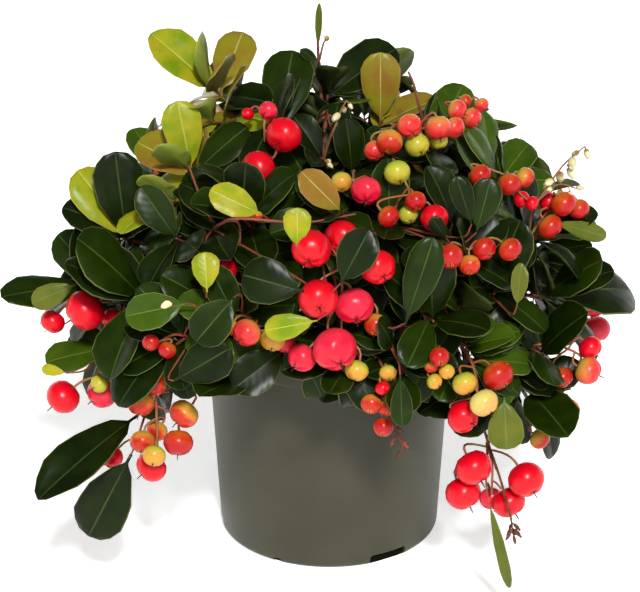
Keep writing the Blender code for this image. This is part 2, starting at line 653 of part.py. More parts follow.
class Growth:
    """One spray: its twigs, and the fruit and leaves that are rooted in them."""

    def __init__(self, spray):
        self.spray = spray
        self.heart = Vector(spray.place) * MM
        self.axis = heading(spray.bearing, spray.rise)
        self.length = spray.leaf_length * MM
        self.draw = random.Random(spray.name)
        self.twigs = []
        self.parts = []

    def keep(self, shape, surface):
        room.add(shape, self.spray.name)
        self.parts.append((shape, surface))

    def branch_off(self, stems):
        """Grow the spray's own stem from the nearest clear place on the stems to its heart."""
        places = []
        for stem in stems:
            for step in range(4, 21):
                share = step / 20
                point = curve_point(stem.route, share)
                below = max(point.z - self.heart.z + 10 * MM, 0)
                cost = (self.heart - point).length + 0.4 * below - (8 * MM if step == 20 else 0)
                places.append((cost, stem, share, point))
        places.sort(key=lambda place: place[0])
        for _, stem, share, point in places:
            way = curve_way(stem.route, share)
            side = self.heart - point
            side = (side - way * side.dot(way)).normalized()
            for lift in (0.5, 0.15, 0.9, 1.6):
                leave = way if share == 1 else (side + way * lift).normalized()
                start = stem.seat(share, leave, TWIG_RADIUS)
                span = (self.heart - start).length
                route = (start, start + leave * span * 0.35, self.heart - self.axis * span * 0.4, self.heart)
                twig = Limb(along_curve(route, TWIG_STEPS), TWIG_RADIUS, TWIG_TIP_RADIUS, leave)
                if not room.touches(twig.shape) and not room.touches(twig.envelope(0.15 * span)):
                    self.twigs.append(twig)
                    room.add(twig.shape, self.spray.name)
                    return
        raise ValueError(f"no way in for the stem of {self.spray.name}")

    def fork(self):
        """Grow a side twig from the spray's stem where one fits."""
        main = self.twigs[0]
        reach = self.length * 0.6
        root, way = main.at(min(0.8 * reach, 0.6 * main.length))
        for turn in (90, 270, 30, 330, 150, 210):
            out = (across(way, self.spray.turn + turn) + way * 0.5).normalized()
            tip = root + out * reach
            route = (root, root + out * reach * 0.3, tip - self.axis * reach * 0.35, tip)
            twig = Limb(along_curve(route, 2), TWIG_TIP_RADIUS, TWIG_TIP_RADIUS * 0.85)
            if room.touches(twig.envelope(0.3 * reach)) or room.touches(twig.shape, self.spray.name):
                continue
            self.twigs.append(twig)
            self.keep(twig.shape, BARK)
            return

    def set_fruit(self, cluster):
        """Grow a stalk from the spray to the cluster's place, with fruit turning round its end."""
        size = cluster.size * MM
        hang = heading(cluster.bearing, cluster.rise)
        middle = Vector(cluster.place) * MM
        run = FRUIT_PITCH * size * max(cluster.count - 1, 0) + 0.1 * size
        first, last = middle - hang * run / 2, middle + hang * run / 2
        backs = [step * 3 * MM for step in range(1, 8) if step * 3 * MM < 0.6 * self.twigs[0].length]
        roots = sorted((self.twigs[0].at(back)[0] for back in backs), key=lambda root: (root - first).length)
        for bow_share, root in product(STALK_BOWS, roots):
            bow = (root + first) / 2 + UP * bow_share * (first - root).length
            stalk = Limb([root, bow, first, last], TWIG_TIP_RADIUS, STALK_RADIUS)
            if not room.touches(stalk.shape, self.spray.name):
                break
        else:
            return
        self.keep(stalk.shape, BARK)
        for index in range(cluster.count):
            share = (index + 0.3) / cluster.count
            self.set_one_fruit(cluster, first.lerp(last, share), index, size, hang)

    def set_one_fruit(self, cluster, foot, index, size, hang):
        """Set one fruit beside its stalk, or on its end where it is the last."""
        end = index == cluster.count - 1
        for shift in FRUIT_SHIFTS:
            out = across(hang, cluster.turn + GOLDEN_TURN * index + shift)
            away = out * FRUIT_OUT * size + hang * FRUIT_ON * size
            if end and shift == 0:
                away = hang * END_FRUIT_ON * size
            centre = foot + away
            if centre.z < size or room.crowds(centre, size / 2 + CLEARANCE):
                continue
            way = away.normalized()
            footstalk = tube([foot, centre - way * 0.3 * size], [STALK_RADIUS] * 2, TWIG_SIDES)
            if room.touches(footstalk, self.spray.name):
                continue
            self.keep(footstalk, BARK)
            self.keep(fruit_solid(centre, way, size), FRUIT)
            return

    def set_leaf(self, root, along, light, length, arch, width):
        """Root a leaf in a twig where it clears everything, with its face turned to the light."""
        leaf = (root - along * LEAF_ROOT_DEPTH, along, square_to(along, light), length, arch, width)
        grown = leaf_solid(leaf, CLEARANCE)
        beyond_twig = leaf_solid(leaf, CLEARANCE, LEAF_OWN_SHARE)
        if room.touches(grown, self.spray.name) or room.touches(beyond_twig):
            return False
        self.keep(leaf_solid(leaf), FOLIAGE)
        return True

    def set_own_leaf(self, own, index):
        """Set a leaf near the tip of the spray's stem, so that it reaches its own place."""
        # The leaf starts above its place's line by half its arch, and so ends on it
        along = heading(own.bearing, own.rise + OWN_LEAF_ARCH / 2)
        for shrink, step in product((1, 0.92, 0.84), range(index, index + 4)):
            root, _ = self.twigs[0].at(OWN_LEAF_STEPS[step % len(OWN_LEAF_STEPS)])
            if self.set_leaf(root, along, OWN_LEAF_LIGHT, own.length * MM * shrink, OWN_LEAF_ARCH, own.width):
                return

    def set_next_leaf(self, twig, index):
        """Set one leaf of the spiral that turns down a twig from its tip."""
        size = LEAF_SIZES[index % len(LEAF_SIZES)] * self.length * self.draw.uniform(0.92, 1.1)
        lift = LEAF_LIFTS[index % len(LEAF_LIFTS)] + self.draw.uniform(-8, 8)
        root, way = self.twigs[twig].at(0.5 * MM + index * LEAF_SPACING)
        turn = self.spray.turn + 70 * twig + GOLDEN_TURN * index
        for attempt, shift in enumerate((0, 22, -22, 45, -45, 68, -68, 90, -90)):
            tilt = math.radians(lift + 5 * (attempt % 3 - 1))
            out = across(way, turn + shift)
            along = (way * math.cos(tilt) + out * math.sin(tilt) + UP * LEAF_UPTURN).normalized()
            light = UP * 0.8 + Vector((root.x, root.y, 0)).normalized() * 0.5 + self.axis * 0.3
            shrink = 1 if attempt < 5 else 0.85
            if self.set_leaf(root, along, light, size * shrink, LEAF_ARCH, LEAF_WIDTH_SHARE):
                return

    def make(self, surfaces):
        solid = link(mesh_object(self.spray.name, self.twigs[0].shape, surfaces, BARK))
        parts = [
            mesh_object(f"{self.spray.name}_{index}", shape, surfaces, surface)
            for index, (shape, surface) in enumerate(self.parts)
        ]
        combine(solid, parts, "UNION")


def back_sprays():
    """The rings of sprays round the back, with every other one a little nearer the axis."""
    for ring, (height, reach, count, first, last, rise) in enumerate(BACK_RINGS):
        for index in range(count):
            bearing = first + (last - first) * index / (count - 1)
            out = heading(bearing, 0) * (reach - 6 * (index % 2))
            place = (out.x, out.y, height + 7 * (index % 2))
            number = ring * len(BACK_FRUITS) + index
            tint = "mid" if number % 4 == 1 else "dark"
            yield Spray(
                f"back_{ring + 1}_{index + 1}", place, bearing, rise, BACK_LEAVES, BACK_LEAF_LENGTH,
                tint, 50 * number,
            )


def back_clusters(sprays):
    for number, spray in enumerate(sprays):
        count = BACK_FRUITS[number % len(BACK_FRUITS)]
        if count:
            ripeness = ("red", "blush", "orange")[number % 3]
            place = tuple(Vector(spray.place) + heading(spray.bearing, -30) * BACK_FRUIT_REACH)
            yield Cluster(spray.name, place, spray.bearing, -60, count, BACK_FRUIT_SIZE, ripeness, 40 * number)


def grow_crown(stems, sprays, clusters):
    """Grow every spray's twigs, then the leaves with a place of their own, the fruit and the rest."""
    growths = {spray.name: Growth(spray) for spray in sprays}
    for growth in growths.values():
        growth.branch_off(stems)
    for growth in growths.values():
        if growth.spray.leaves > 2:
            growth.fork()
    own_counts = Counter()
    for own in OWN_LEAVES:
        growths[own.spray].set_own_leaf(own, own_counts[own.spray])
        own_counts[own.spray] += 1
    for cluster in clusters:
        growths[cluster.spray].set_fruit(cluster)
    for index in range(max(spray.leaves for spray in sprays)):
        for name, growth in growths.items():
            if index < growth.spray.leaves - own_counts[name]:
                growth.set_next_leaf(0, index)
            if index < SIDE_TWIG_LEAVES and len(growth.twigs) > 1:
                growth.set_next_leaf(1, index)
    return growths


def make_crown(growths, clusters, bark):
    """Make every spray one solid, with the colour of its own leaves and fruit."""
    leaves = {tint: material(f"leaf_{tint}", colour, 0.35) for tint, colour in LEAF_COLOURS.items()}
    fruit = {stage: material(f"fruit_{stage}", colour, 0.3) for stage, colour in FRUIT_COLOURS.items()}
    ripeness = {cluster.spray: cluster.ripeness for cluster in clusters}
    for name, growth in growths.items():
        growth.make([bark, leaves[growth.spray.tint], fruit[ripeness.get(name, "red")]])


for thing in list(bpy.data.objects):
    bpy.data.objects.remove(thing)
make_pot()
make_fill()
for name in ("pot", "potting_mix"):
    mesh = bpy.data.objects[name].data
    corners = [vertex.co.copy() for vertex in mesh.vertices]
    room.add((corners, [tuple(face.vertices) for face in mesh.polygons]), name)
bark = material("bark", (0.13, 0.05, 0.025), 0.75)
stems = [Stem(number, *sizes) for number, sizes in enumerate(STEMS, start=1)]
for stem in stems:
    stem.make(bark)
back = list(back_sprays())
clusters = CLUSTERS + list(back_clusters(back))
growths = grow_crown(stems, FRONT_SPRAYS + back, clusters)
make_crown(growths, clusters, bark)
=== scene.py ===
"""Wintergreen in its nursery pot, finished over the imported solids.

The pot, the mix and the woody stems stand where their solids stand. Twigs, leaves and fruit grow
by the solids' own rule, and then go on to finer twigs and inner leaves within the same reach.
"""

import json
import math
import random
from collections import Counter, defaultdict, namedtuple
from itertools import combinations, product

import bmesh
import bpy
from mathutils import Matrix, Quaternion, Vector, noise
from mathutils.bvhtree import BVHTree

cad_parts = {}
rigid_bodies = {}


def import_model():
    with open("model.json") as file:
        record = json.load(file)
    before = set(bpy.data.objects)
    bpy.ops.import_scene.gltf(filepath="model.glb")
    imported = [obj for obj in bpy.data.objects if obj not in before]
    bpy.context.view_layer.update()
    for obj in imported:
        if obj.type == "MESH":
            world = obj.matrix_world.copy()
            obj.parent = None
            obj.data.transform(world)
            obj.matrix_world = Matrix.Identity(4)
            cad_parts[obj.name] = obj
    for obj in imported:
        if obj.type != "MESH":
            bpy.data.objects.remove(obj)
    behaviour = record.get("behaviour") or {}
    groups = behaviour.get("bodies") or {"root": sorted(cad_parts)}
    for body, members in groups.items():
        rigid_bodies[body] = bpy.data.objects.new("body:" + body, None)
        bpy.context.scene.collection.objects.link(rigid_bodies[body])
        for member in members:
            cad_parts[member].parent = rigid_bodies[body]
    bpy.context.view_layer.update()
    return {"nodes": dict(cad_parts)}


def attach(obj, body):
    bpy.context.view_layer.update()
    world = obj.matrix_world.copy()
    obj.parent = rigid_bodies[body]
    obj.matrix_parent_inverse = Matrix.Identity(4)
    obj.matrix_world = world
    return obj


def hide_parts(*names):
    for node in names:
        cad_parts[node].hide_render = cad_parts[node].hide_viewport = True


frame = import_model()
MM = 0.001


# Camera: a long lens a short step away, looking a little down on the crown.
CAMERA_TARGET = Vector((-3.9, 0, 101.6)) * MM
CAMERA_DISTANCE = 900 * MM
CAMERA_RISE = math.radians(21.8)
CAMERA_SENSOR = 36
CAMERA_LENS = 123.75


def put(name, data):
    """A new object in the scene."""
    thing = bpy.data.objects.new(name, data)
    bpy.context.scene.collection.objects.link(thing)
    return thing


def aimed(thing, place, target):
    """An object set at a place, with its front to a target."""
    thing.location = place
    thing.rotation_euler = (target - place).to_track_quat("-Z", "Y").to_euler()
    return thing


lens = bpy.data.cameras.new("camera")
lens.sensor_width = CAMERA_SENSOR
lens.lens = CAMERA_LENS
eye = CAMERA_TARGET + Vector((0, -math.cos(CAMERA_RISE), math.sin(CAMERA_RISE))) * CAMERA_DISTANCE
bpy.context.scene.camera = aimed(put("camera", lens), eye, CAMERA_TARGET)


# Studio: a pale floor that curves up into a low wall all round, a bright room, and one soft lamp
# near the camera with a second above the crown.
FLOOR_RADIUS = 4.0
WALL_CURVE = 0.9
WALL_HEIGHT = 1.5
FLOOR_SIDES = 96
FLOOR_COLOUR = (0.92, 0.92, 0.91)
FLOOR_GLOW = 0.55
ROOM_LIGHT = 0.16
# Each lamp: kind, place, size of its face or of its disc in the sky, power
LAMPS = {
    "high_lamp": ("SUN", Vector((0.12, -1, 0.95)), math.radians(6), 3.1),
    "front_lamp": ("AREA", Vector((0.12, -1.1, 0.75)), 0.16, 1.9),
}
WHITE = (1, 1, 1, 1)
UP = Vector((0, 0, 1))


def shading(coat):
    """The inputs of a finish's shader."""
    return coat.node_tree.nodes["Principled BSDF"].inputs


def in_use(sockets, name=None):
    """The first socket that is in use, of a name if one is given."""
    return next(each for each in sockets if each.enabled and name in (None, each.name))


def node(tree, kind, inputs, **settings):
    """A new node. An input is a value, another node's output, or a node for its first output."""
    made = tree.nodes.new(kind)
    for name, value in settings.items():
        setattr(made, name, value)
    for name, value in inputs.items():
        into = made.inputs[name] if isinstance(name, int) else in_use(made.inputs, name)
        if isinstance(value, bpy.types.Node):
            value = in_use(value.outputs)
        if isinstance(value, bpy.types.NodeSocket):
            tree.links.new(value, into)
        else:
            into.default_value = value
    return made


def pattern(coat, size):
    """A noise over the piece's own space, with grains of a size."""
    place = node(coat.node_tree, "ShaderNodeTexCoord", {}).outputs["Object"]
    return node(coat.node_tree, "ShaderNodeTexNoise", {"Vector": place, "Scale": 1 / size, "Detail": 3})


def ramped(coat, along, stops):
    """Let the colour go from stop to stop, each a share and a colour, along a value."""
    ramp = node(coat.node_tree, "ShaderNodeValToRGB", {"Fac": along})
    elements = ramp.color_ramp.elements
    for _ in stops[2:]:
        elements.new(0.5)
    for element, (share, colour) in zip(elements, stops):
        element.position = share
        element.color = (*colour, 1)
    coat.node_tree.links.new(ramp.outputs["Color"], shading(coat)["Base Color"])


def mottle(coat, first, second, size, low=0.35, high=0.65):
    """Let the colour go from one to the other in soft patches of a size."""
    ramped(coat, pattern(coat, size), [(low, first), (high, second)])


def raised(coat, height, depth, strength):
    """Raise and lower the surface a little with a value."""
    amount = {"Height": height, "Distance": depth, "Strength": strength}
    bump = node(coat.node_tree, "ShaderNodeBump", amount)
    coat.node_tree.links.new(bump.outputs["Normal"], shading(coat)["Normal"])


def relief(coat, size, depth, strength=0.5):
    """Raise and lower the surface a little in grains of a size."""
    raised(coat, pattern(coat, size), depth, strength)


def finish(name, colour, roughness, specular, patches=None, grains=None):
    """A new finish of one colour, or with the patches that mottle takes, the grains that relief does."""
    coat = bpy.data.materials.new(name)
    coat.use_nodes = True
    shading(coat)["Base Color"].default_value = (*colour, 1)
    shading(coat)["Roughness"].default_value = roughness
    shading(coat)["Specular IOR Level"].default_value = specular
    if patches:
        mottle(coat, *patches)
    if grains:
        relief(coat, *grains)
    return coat


def heading(bearing, rise):
    """The unit way from a bearing (0 towards the front, 90 to the right) and a rise above level."""
    turn, lift = math.radians(bearing), math.radians(rise)
    return Vector((math.sin(turn) * math.cos(lift), -math.cos(turn) * math.cos(lift), math.sin(lift)))


def arc(centre_radius, centre_height, size, first, last, steps):
    """Points of a rounding in a profile, by angle from straight down."""
    angles = [math.radians(first + (last - first) * step / steps) for step in range(steps + 1)]
    return [(centre_radius + size * math.sin(a), centre_height - size * math.cos(a)) for a in angles]


def turned(profile, sides):
    """A turned solid from a profile of radius and height, which starts and ends on the axis."""
    vertices, rings = [], []
    for radius, height in profile:
        count = sides if radius > 0 else 1
        rings.append(range(len(vertices), len(vertices) + count))
        for side in range(count):
            vertices.append(heading(360 * side / sides, 0) * radius + UP * height)
    faces = []
    for lower, upper in zip(rings, rings[1:]):
        for side in range(sides):
            corners = [
                lower[side % len(lower)],
                lower[(side + 1) % sides % len(lower)],
                upper[(side + 1) % sides % len(upper)],
                upper[side % len(upper)],
            ]
            faces.append(tuple(dict.fromkeys(corners)))
    return vertices, faces


floor_mesh = bpy.data.meshes.new("floor")
profile = [(FLOOR_RADIUS, WALL_HEIGHT)]
profile += arc(FLOOR_RADIUS - WALL_CURVE, WALL_CURVE, WALL_CURVE, 90, 0, 12) + [(0, 0)]
vertices, faces = turned(profile, FLOOR_SIDES)
floor_mesh.from_pydata(vertices, [], faces)
floor_mesh.shade_smooth()
floor_paint = finish("floor_paint", FLOOR_COLOUR, 0.8, 0.2)
shading(floor_paint)["Emission Color"].default_value = WHITE
shading(floor_paint)["Emission Strength"].default_value = FLOOR_GLOW
floor_mesh.materials.append(floor_paint)
put("floor", floor_mesh)
world = bpy.data.worlds.new("room")
world.use_nodes = True
room_light = world.node_tree.nodes["Background"].inputs
room_light["Strength"].default_value = ROOM_LIGHT
room_light["Color"].default_value = WHITE
bpy.context.scene.world = world
bpy.context.scene.view_settings.view_transform = "Standard"
for name, (kind, place, size, power) in LAMPS.items():
    lamp = bpy.data.lights.new(name, kind)
    if kind == "SUN":
        lamp.angle = size
    else:
        lamp.size = size
    lamp.energy = power
    aimed(put(name, lamp), place, CAMERA_TARGET)


# Pot: a thin injection-moulded nursery pot in recycled grey-taupe plastic, drawn a little in
# towards its foot, with a rolled band at the rim and drain notches moulded into the foot's edge.
POT_HEIGHT = 92 * MM
RIM_RADIUS = 52.5 * MM
RIM_BAND = 9 * MM
RIM_ROUND = 1.0 * MM
WALL_TOP_RADIUS = 50.2 * MM
WALL_FOOT_RADIUS = 45.8 * MM
WALL = 1.2 * MM
POT_FLOOR = 1.6 * MM
FOOT_ROUND = 3 * MM
POT_SIDES = 96
WALL_STEPS = 6
# How far the level middle of the foot reaches
FOOT_LEVEL = 30 * MM
SHARP_EDGE = 35
# Drain notches: bearing of the first of three, width, height. The back of each notch is painted near black,
# as painted shade for the hollow seen through it
NOTCHES = ((32, 17 * MM, 4.6 * MM), (-28, 4 * MM, 2.4 * MM))
NOTCH_DEPTH = 2.4 * MM
NOTCH_CORNER = 0.6 * MM
# How far the block that cuts a notch stands out of the wall
CUTTER_OUT = 8 * MM
# Painted shade: near black for the back of each notch, with slightly lighter patches
NOTCH_PAINTED_SHADE = (0.004, 0.004, 0.003)
NOTCH_PAINTED_SHADE_PATCH = (0.01, 0.009, 0.006)
PLASTIC = (0.0322, 0.0312, 0.0162)
PLASTIC_WORN = (0.0445, 0.0425, 0.0232)


def solid_mesh(name, shape, finishes, sharp=SHARP_EDGE):
    """A mesh from vertices and faces, smooth but for its sharp edges."""
    mesh = bpy.data.meshes.new(name)
    mesh.from_pydata(shape[0], [], shape[1])
    for each in finishes:
        mesh.materials.append(each)
    mesh.shade_smooth()
    mesh.set_sharp_from_angle(angle=math.radians(sharp))
    return mesh


def settled(thing):
    """The object as its modifiers leave it, as a plain mesh of its own name."""
    depsgraph = bpy.context.evaluated_depsgraph_get()
    mesh = bpy.data.meshes.new_from_object(thing.evaluated_get(depsgraph))
    name = thing.name
    bpy.data.objects.remove(thing)
    mesh.name = name
    return put(name, mesh)


def put_away(group):
    """Remove a collection with its objects."""
    for thing in list(group.objects):
        bpy.data.objects.remove(thing)
    bpy.data.collections.remove(group)


plastic = finish(
    "pot_plastic", PLASTIC, 0.46, 0.3, (PLASTIC, PLASTIC_WORN, 26 * MM, 0.3, 0.75),
    grains=(0.5 * MM, 0.05 * MM, 0.35),
)
band_foot = POT_HEIGHT - RIM_BAND
wall_rise, wall_spread = band_foot - FOOT_ROUND, WALL_TOP_RADIUS - WALL_FOOT_RADIUS
profile = [(0, 0), (FOOT_LEVEL, 0)]
profile += arc(WALL_FOOT_RADIUS - FOOT_ROUND, FOOT_ROUND, FOOT_ROUND, 0, 87, 5)
profile += [
    (WALL_FOOT_RADIUS + wall_spread * step / WALL_STEPS, FOOT_ROUND + wall_rise * step / WALL_STEPS)
    for step in range(1, WALL_STEPS + 1)
]
profile += arc(RIM_RADIUS - RIM_ROUND, band_foot + RIM_ROUND, RIM_ROUND, 10, 90, 3)
profile += arc(RIM_RADIUS - RIM_ROUND, POT_HEIGHT - RIM_ROUND, RIM_ROUND, 90, 180, 4)
profile += arc(WALL_TOP_RADIUS - WALL + RIM_ROUND, POT_HEIGHT - RIM_ROUND, RIM_ROUND, 180, 270, 3)
profile += [
    (WALL_FOOT_RADIUS - WALL, FOOT_ROUND + POT_FLOOR),
    (WALL_FOOT_RADIUS - WALL - FOOT_ROUND / 2, POT_FLOOR),
    (0, POT_FLOOR),
]
# The notches' back faces are painted near black as shade, in soft patches
notch_painted_shade = finish("pot_hollow", NOTCH_PAINTED_SHADE, 0.9, 0.0, (NOTCH_PAINTED_SHADE, NOTCH_PAINTED_SHADE_PATCH, 3 * MM, 0.5, 0.8))
pot = put("pot_shell", solid_mesh("pot_shell", turned(profile, POT_SIDES), [plastic, notch_painted_shade]))
notch_group = bpy.data.collections.new("notches")
for bearing, width, height in NOTCHES:
    for turn in (0, 120, 240):
        out = heading(bearing + turn, 0)
        shell = bmesh.new()
        size = Vector((NOTCH_DEPTH + CUTTER_OUT, width, height * 2))
        bmesh.ops.create_cube(shell, size=1, matrix=Matrix.Diagonal((*size, 1)))
        ends = [(edge, edge.verts[0].co - edge.verts[1].co) for edge in shell.edges]
        corners = [edge for edge, run in ends if abs(run.x) > size.x / 2]
        bmesh.ops.bevel(shell, geom=corners, offset=NOTCH_CORNER, segments=3, affect="EDGES")
        turn_about = Matrix.Rotation(math.atan2(out.y, out.x), 4, "Z")
        middle = out * (WALL_FOOT_RADIUS - NOTCH_DEPTH + size.x / 2)
        bmesh.ops.transform(shell, verts=shell.verts, matrix=Matrix.Translation(middle) @ turn_about)
        notch = bpy.data.meshes.new("notch")
        shell.to_mesh(notch)
        shell.free()
        notch.materials.append(plastic)
        notch.materials.append(notch_painted_shade)
        # The cutter's inward face becomes the back of the notch and takes the painted shade
        for face in notch.polygons:
            face.material_index = int(face.normal.dot(out) < -0.5)
        notch_group.objects.link(bpy.data.objects.new("notch", notch))
cut = pot.modifiers.new("notches", "BOOLEAN")
cut.operation = "DIFFERENCE"
cut.operand_type = "COLLECTION"
cut.collection = notch_group
pot = settled(pot)
put_away(notch_group)
pot.data.shade_smooth()
pot.data.set_sharp_from_angle(angle=math.radians(SHARP_EDGE))
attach(pot, "root")
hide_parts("pot")


# Potting mix: moist peat with crumbs of fine bark and a few white grains, level round the stems
# and a little lower at the wall, as it settles after watering.
FIT_GAP = 0.3 * MM
MIX_EDGE_HEIGHT = 80 * MM
MIX_TOP_HEIGHT = 83 * MM
MIX_LEVEL_RADIUS = 27 * MM
MIX_SIDES = 64
MIX_FALL = 3 * MM
MIX_STEPS = 8
MIX_LUMPS = 0.9 * MM
MIX_LUMP_SIZE = 3.5 * MM
MIX_EDGE_BAND = 0.1 * MM
CRUMBS = 420
CRUMB_SIZES = (1.2, 3.4)
CRUMB_SINK = 0.3 * MM
# One crumb in so many is a white grain
WHITE_EVERY = 12
CRUMB_FLATNESS = (0.35, 0.55, 0.8)
PEAT = (0.022, 0.014, 0.009)
PEAT_DRY = (0.05, 0.032, 0.02)


def grown(name, mesh, tree, values):
    """A new object: a mesh after a tree of nodes, with the tree's inputs set by their names."""
    carrier = put(name, mesh)
    dress = carrier.modifiers.new("dress", "NODES")
    dress.node_group = tree
    for item in tree.interface.items_tree:
        if item.item_type == "SOCKET" and item.in_out == "INPUT" and item.name in values:
            dress[item.identifier] = values[item.name]
    return settled(carrier)


def new_tree(name, inputs):
    """A new tree for a modifier, with inputs of the kinds given, and the outputs of its input node."""
    tree = bpy.data.node_groups.new(name, "GeometryNodeTree")
    tree.is_modifier = True
    for each, kind in inputs.items():
        tree.interface.new_socket(name=each, in_out="INPUT", socket_type="NodeSocket" + kind)
    tree.interface.new_socket(name="Geometry", in_out="OUTPUT", socket_type="NodeSocketGeometry")
    return tree, tree.nodes.new("NodeGroupInput").outputs


def own_value(tree, word, kind):
    """A value of a name and kind that each point or face carries."""
    return node(tree, "GeometryNodeInputNamedAttribute", {"Name": word}, data_type=kind)


def copies_tree(finish_names):
    """A tree that sets a shape on every point, turned and sized by the point's own values."""
    coats = dict.fromkeys(finish_names, "Material")
    tree, given = new_tree("copies", {"Points": "Geometry", "Shapes": "Collection", **coats})
    shapes = node(tree, "GeometryNodeCollectionInfo", {
        "Collection": given["Shapes"], "Separate Children": True, "Reset Children": True,
    })
    spread = node(tree, "GeometryNodeInstanceOnPoints", {
        "Points": given["Points"],
        "Instance": shapes,
        "Pick Instance": True,
        "Instance Index": own_value(tree, "kind", "INT"),
        "Rotation": own_value(tree, "turn", "FLOAT_VECTOR"),
        "Scale": own_value(tree, "size", "FLOAT_VECTOR"),
    })
    last = node(tree, "GeometryNodeRealizeInstances", {"Geometry": spread})
    for index, each in enumerate(finish_names):
        both = {"A": own_value(tree, "part", "INT"), "B": index}
        is_part = node(tree, "FunctionNodeCompare", both, data_type="INT", operation="EQUAL")
        coat = {"Geometry": last, "Selection": is_part, "Material": given[each]}
        last = node(tree, "GeometryNodeSetMaterial", coat)
    node(tree, "NodeGroupOutput", {"Geometry": last})
    return tree


def carry(mesh, name, kind, domain, values):
    """Keep a value of a name on every point or face of a mesh."""
    own = mesh.attributes.new(name, kind, domain)
    if kind == "FLOAT_VECTOR":
        own.data.foreach_set("vector", [number for value in values for number in value])
    else:
        own.data.foreach_set("value", values)


def set_copies(name, shapes, places, finishes):
    """Join copies of the shapes in one piece. A place is (shape's number, point, turn, size)."""
    group = bpy.data.collections.new(name + "_shapes")
    for index, shape in enumerate(shapes):
        group.objects.link(bpy.data.objects.new(f"{name}_shape_{index}", shape))
    kinds, spots, turns, sizes = zip(*places)
    points = bpy.data.meshes.new(name)
    points.from_pydata(spots, [], [])
    carry(points, "kind", "INT", "POINT", kinds)
    carry(points, "turn", "FLOAT_VECTOR", "POINT", [turn.to_euler() for turn in turns])
    carry(points, "size", "FLOAT_VECTOR", "POINT", sizes)
    piece = grown(name, points, copies_tree(list(finishes)), {"Shapes": group, **finishes})
    put_away(group)
    return piece


def shape_mesh(name, vertices, faces, parts=None):
    """A mesh to be copied: smooth, with the number of each face's finish kept as its part."""
    mesh = bpy.data.meshes.new(name)
    mesh.from_pydata(vertices, [], faces)
    mesh.shade_smooth()
    carry(mesh, "part", "INT", "FACE", parts or [0] * len(faces))
    return mesh


peat = finish("potting_peat", PEAT, 0.95, 0.2, (PEAT, PEAT_DRY, 3 * MM), grains=(0.9 * MM, 0.4 * MM, 0.8))
inner_foot = WALL_FOOT_RADIUS - WALL - FIT_GAP
share_up = (MIX_EDGE_HEIGHT - FOOT_ROUND) / wall_rise
edge_radius = WALL_FOOT_RADIUS + wall_spread * share_up - WALL - 2 * FIT_GAP
mix_slope = edge_radius - MIX_LEVEL_RADIUS
profile = [
    (0, POT_FLOOR + FIT_GAP),
    (inner_foot - FOOT_ROUND, POT_FLOOR + FIT_GAP),
    (inner_foot - FIT_GAP, FOOT_ROUND + POT_FLOOR + 2 * FIT_GAP),
    (edge_radius, MIX_EDGE_HEIGHT),
]
profile += [
    (MIX_LEVEL_RADIUS + mix_slope * step / MIX_STEPS, MIX_TOP_HEIGHT - MIX_FALL * step / MIX_STEPS)
    for step in reversed(range(MIX_STEPS))
]
profile += [(MIX_LEVEL_RADIUS * step / MIX_STEPS, MIX_TOP_HEIGHT) for step in reversed(range(MIX_STEPS))]
vertices, faces = turned(profile, MIX_SIDES)
for vertex in vertices:
    if vertex.z > MIX_EDGE_HEIGHT + MIX_EDGE_BAND:
        vertex.z += MIX_LUMPS * (noise.noise(vertex / MIX_LUMP_SIZE) - 0.6)
mix = put("mix_bed", solid_mesh("mix_bed", (vertices, faces), [peat], 80))
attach(mix, "root")
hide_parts("potting_mix")


def let_go(shell):
    """The vertices and faces of a shell, which is then freed."""
    vertices = [vertex.co.copy() for vertex in shell.verts]
    faces = [tuple(vertex.index for vertex in face.verts) for face in shell.faces]
    shell.free()
    return vertices, faces


def crumb(flatness):
    """A rough crumb about one unit across."""
    shell = bmesh.new()
    bmesh.ops.create_icosphere(shell, subdivisions=1, radius=0.5)
    for vertex in shell.verts:
        vertex.co *= 1 + 0.5 * noise.noise(vertex.co * 3 + UP * flatness * 7)
        vertex.co.z *= flatness
    return shape_mesh("crumb", *let_go(shell))


def turn_to(axis, spin):
    """The turn that takes up to an axis, after a spin about it."""
    return UP.rotation_difference(axis) @ Quaternion(UP, spin)


draw = random.Random("crumbs")
bark_crumbs, white_crumbs = [], []
for index in range(CRUMBS):
    reach = edge_radius * math.sqrt(draw.random()) * 0.97
    fall = max(0, (reach - MIX_LEVEL_RADIUS) / mix_slope) * MIX_FALL
    place = heading(draw.uniform(0, 360), 0) * reach + UP * (MIX_TOP_HEIGHT - fall - CRUMB_SINK)
    lean = heading(draw.uniform(0, 360), draw.uniform(50, 90))
    size = draw.uniform(*CRUMB_SIZES) * MM
    turn = turn_to(lean, draw.uniform(0, 6))
    crumb_place = (index % len(CRUMB_FLATNESS), place, turn, (size * 1.4, size, size))
    (bark_crumbs if index % WHITE_EVERY else white_crumbs).append(crumb_place)
crumb_shapes = [crumb(flatness) for flatness in CRUMB_FLATNESS]
bark_chip = finish(
    "bark_chips", (0.06, 0.033, 0.018), 0.9, 0.2, ((0.03, 0.017, 0.01), (0.1, 0.058, 0.033), 2.5 * MM),
)
pumice = finish(
    "white_grains", (0.5, 0.48, 0.43), 0.9, 0.2, ((0.34, 0.32, 0.28), (0.6, 0.58, 0.52), 1.2 * MM),
)
for name, places, coat in (("bark_crumbs", bark_crumbs, bark_chip), ("white_grains", white_crumbs, pumice)):
    crumbs = set_copies(name, crumb_shapes, places, {"Crumb": coat})
    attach(crumbs, "root")


# The shrub's plan: eight woody stems rise from the mix, and each spray of foliage grows from the
# nearest clear place on them by the same seeded rule as its solid. Twigs, leaves with a place of
# their own, fruit and the other leaves are set in that order, each only where it touches nothing.
STEM_FOOT_RADIUS = 1.9 * MM
STEM_TIP_RADIUS = 1.15 * MM
STEM_FLARE = 1.5
FLARE_SHARE = 0.15
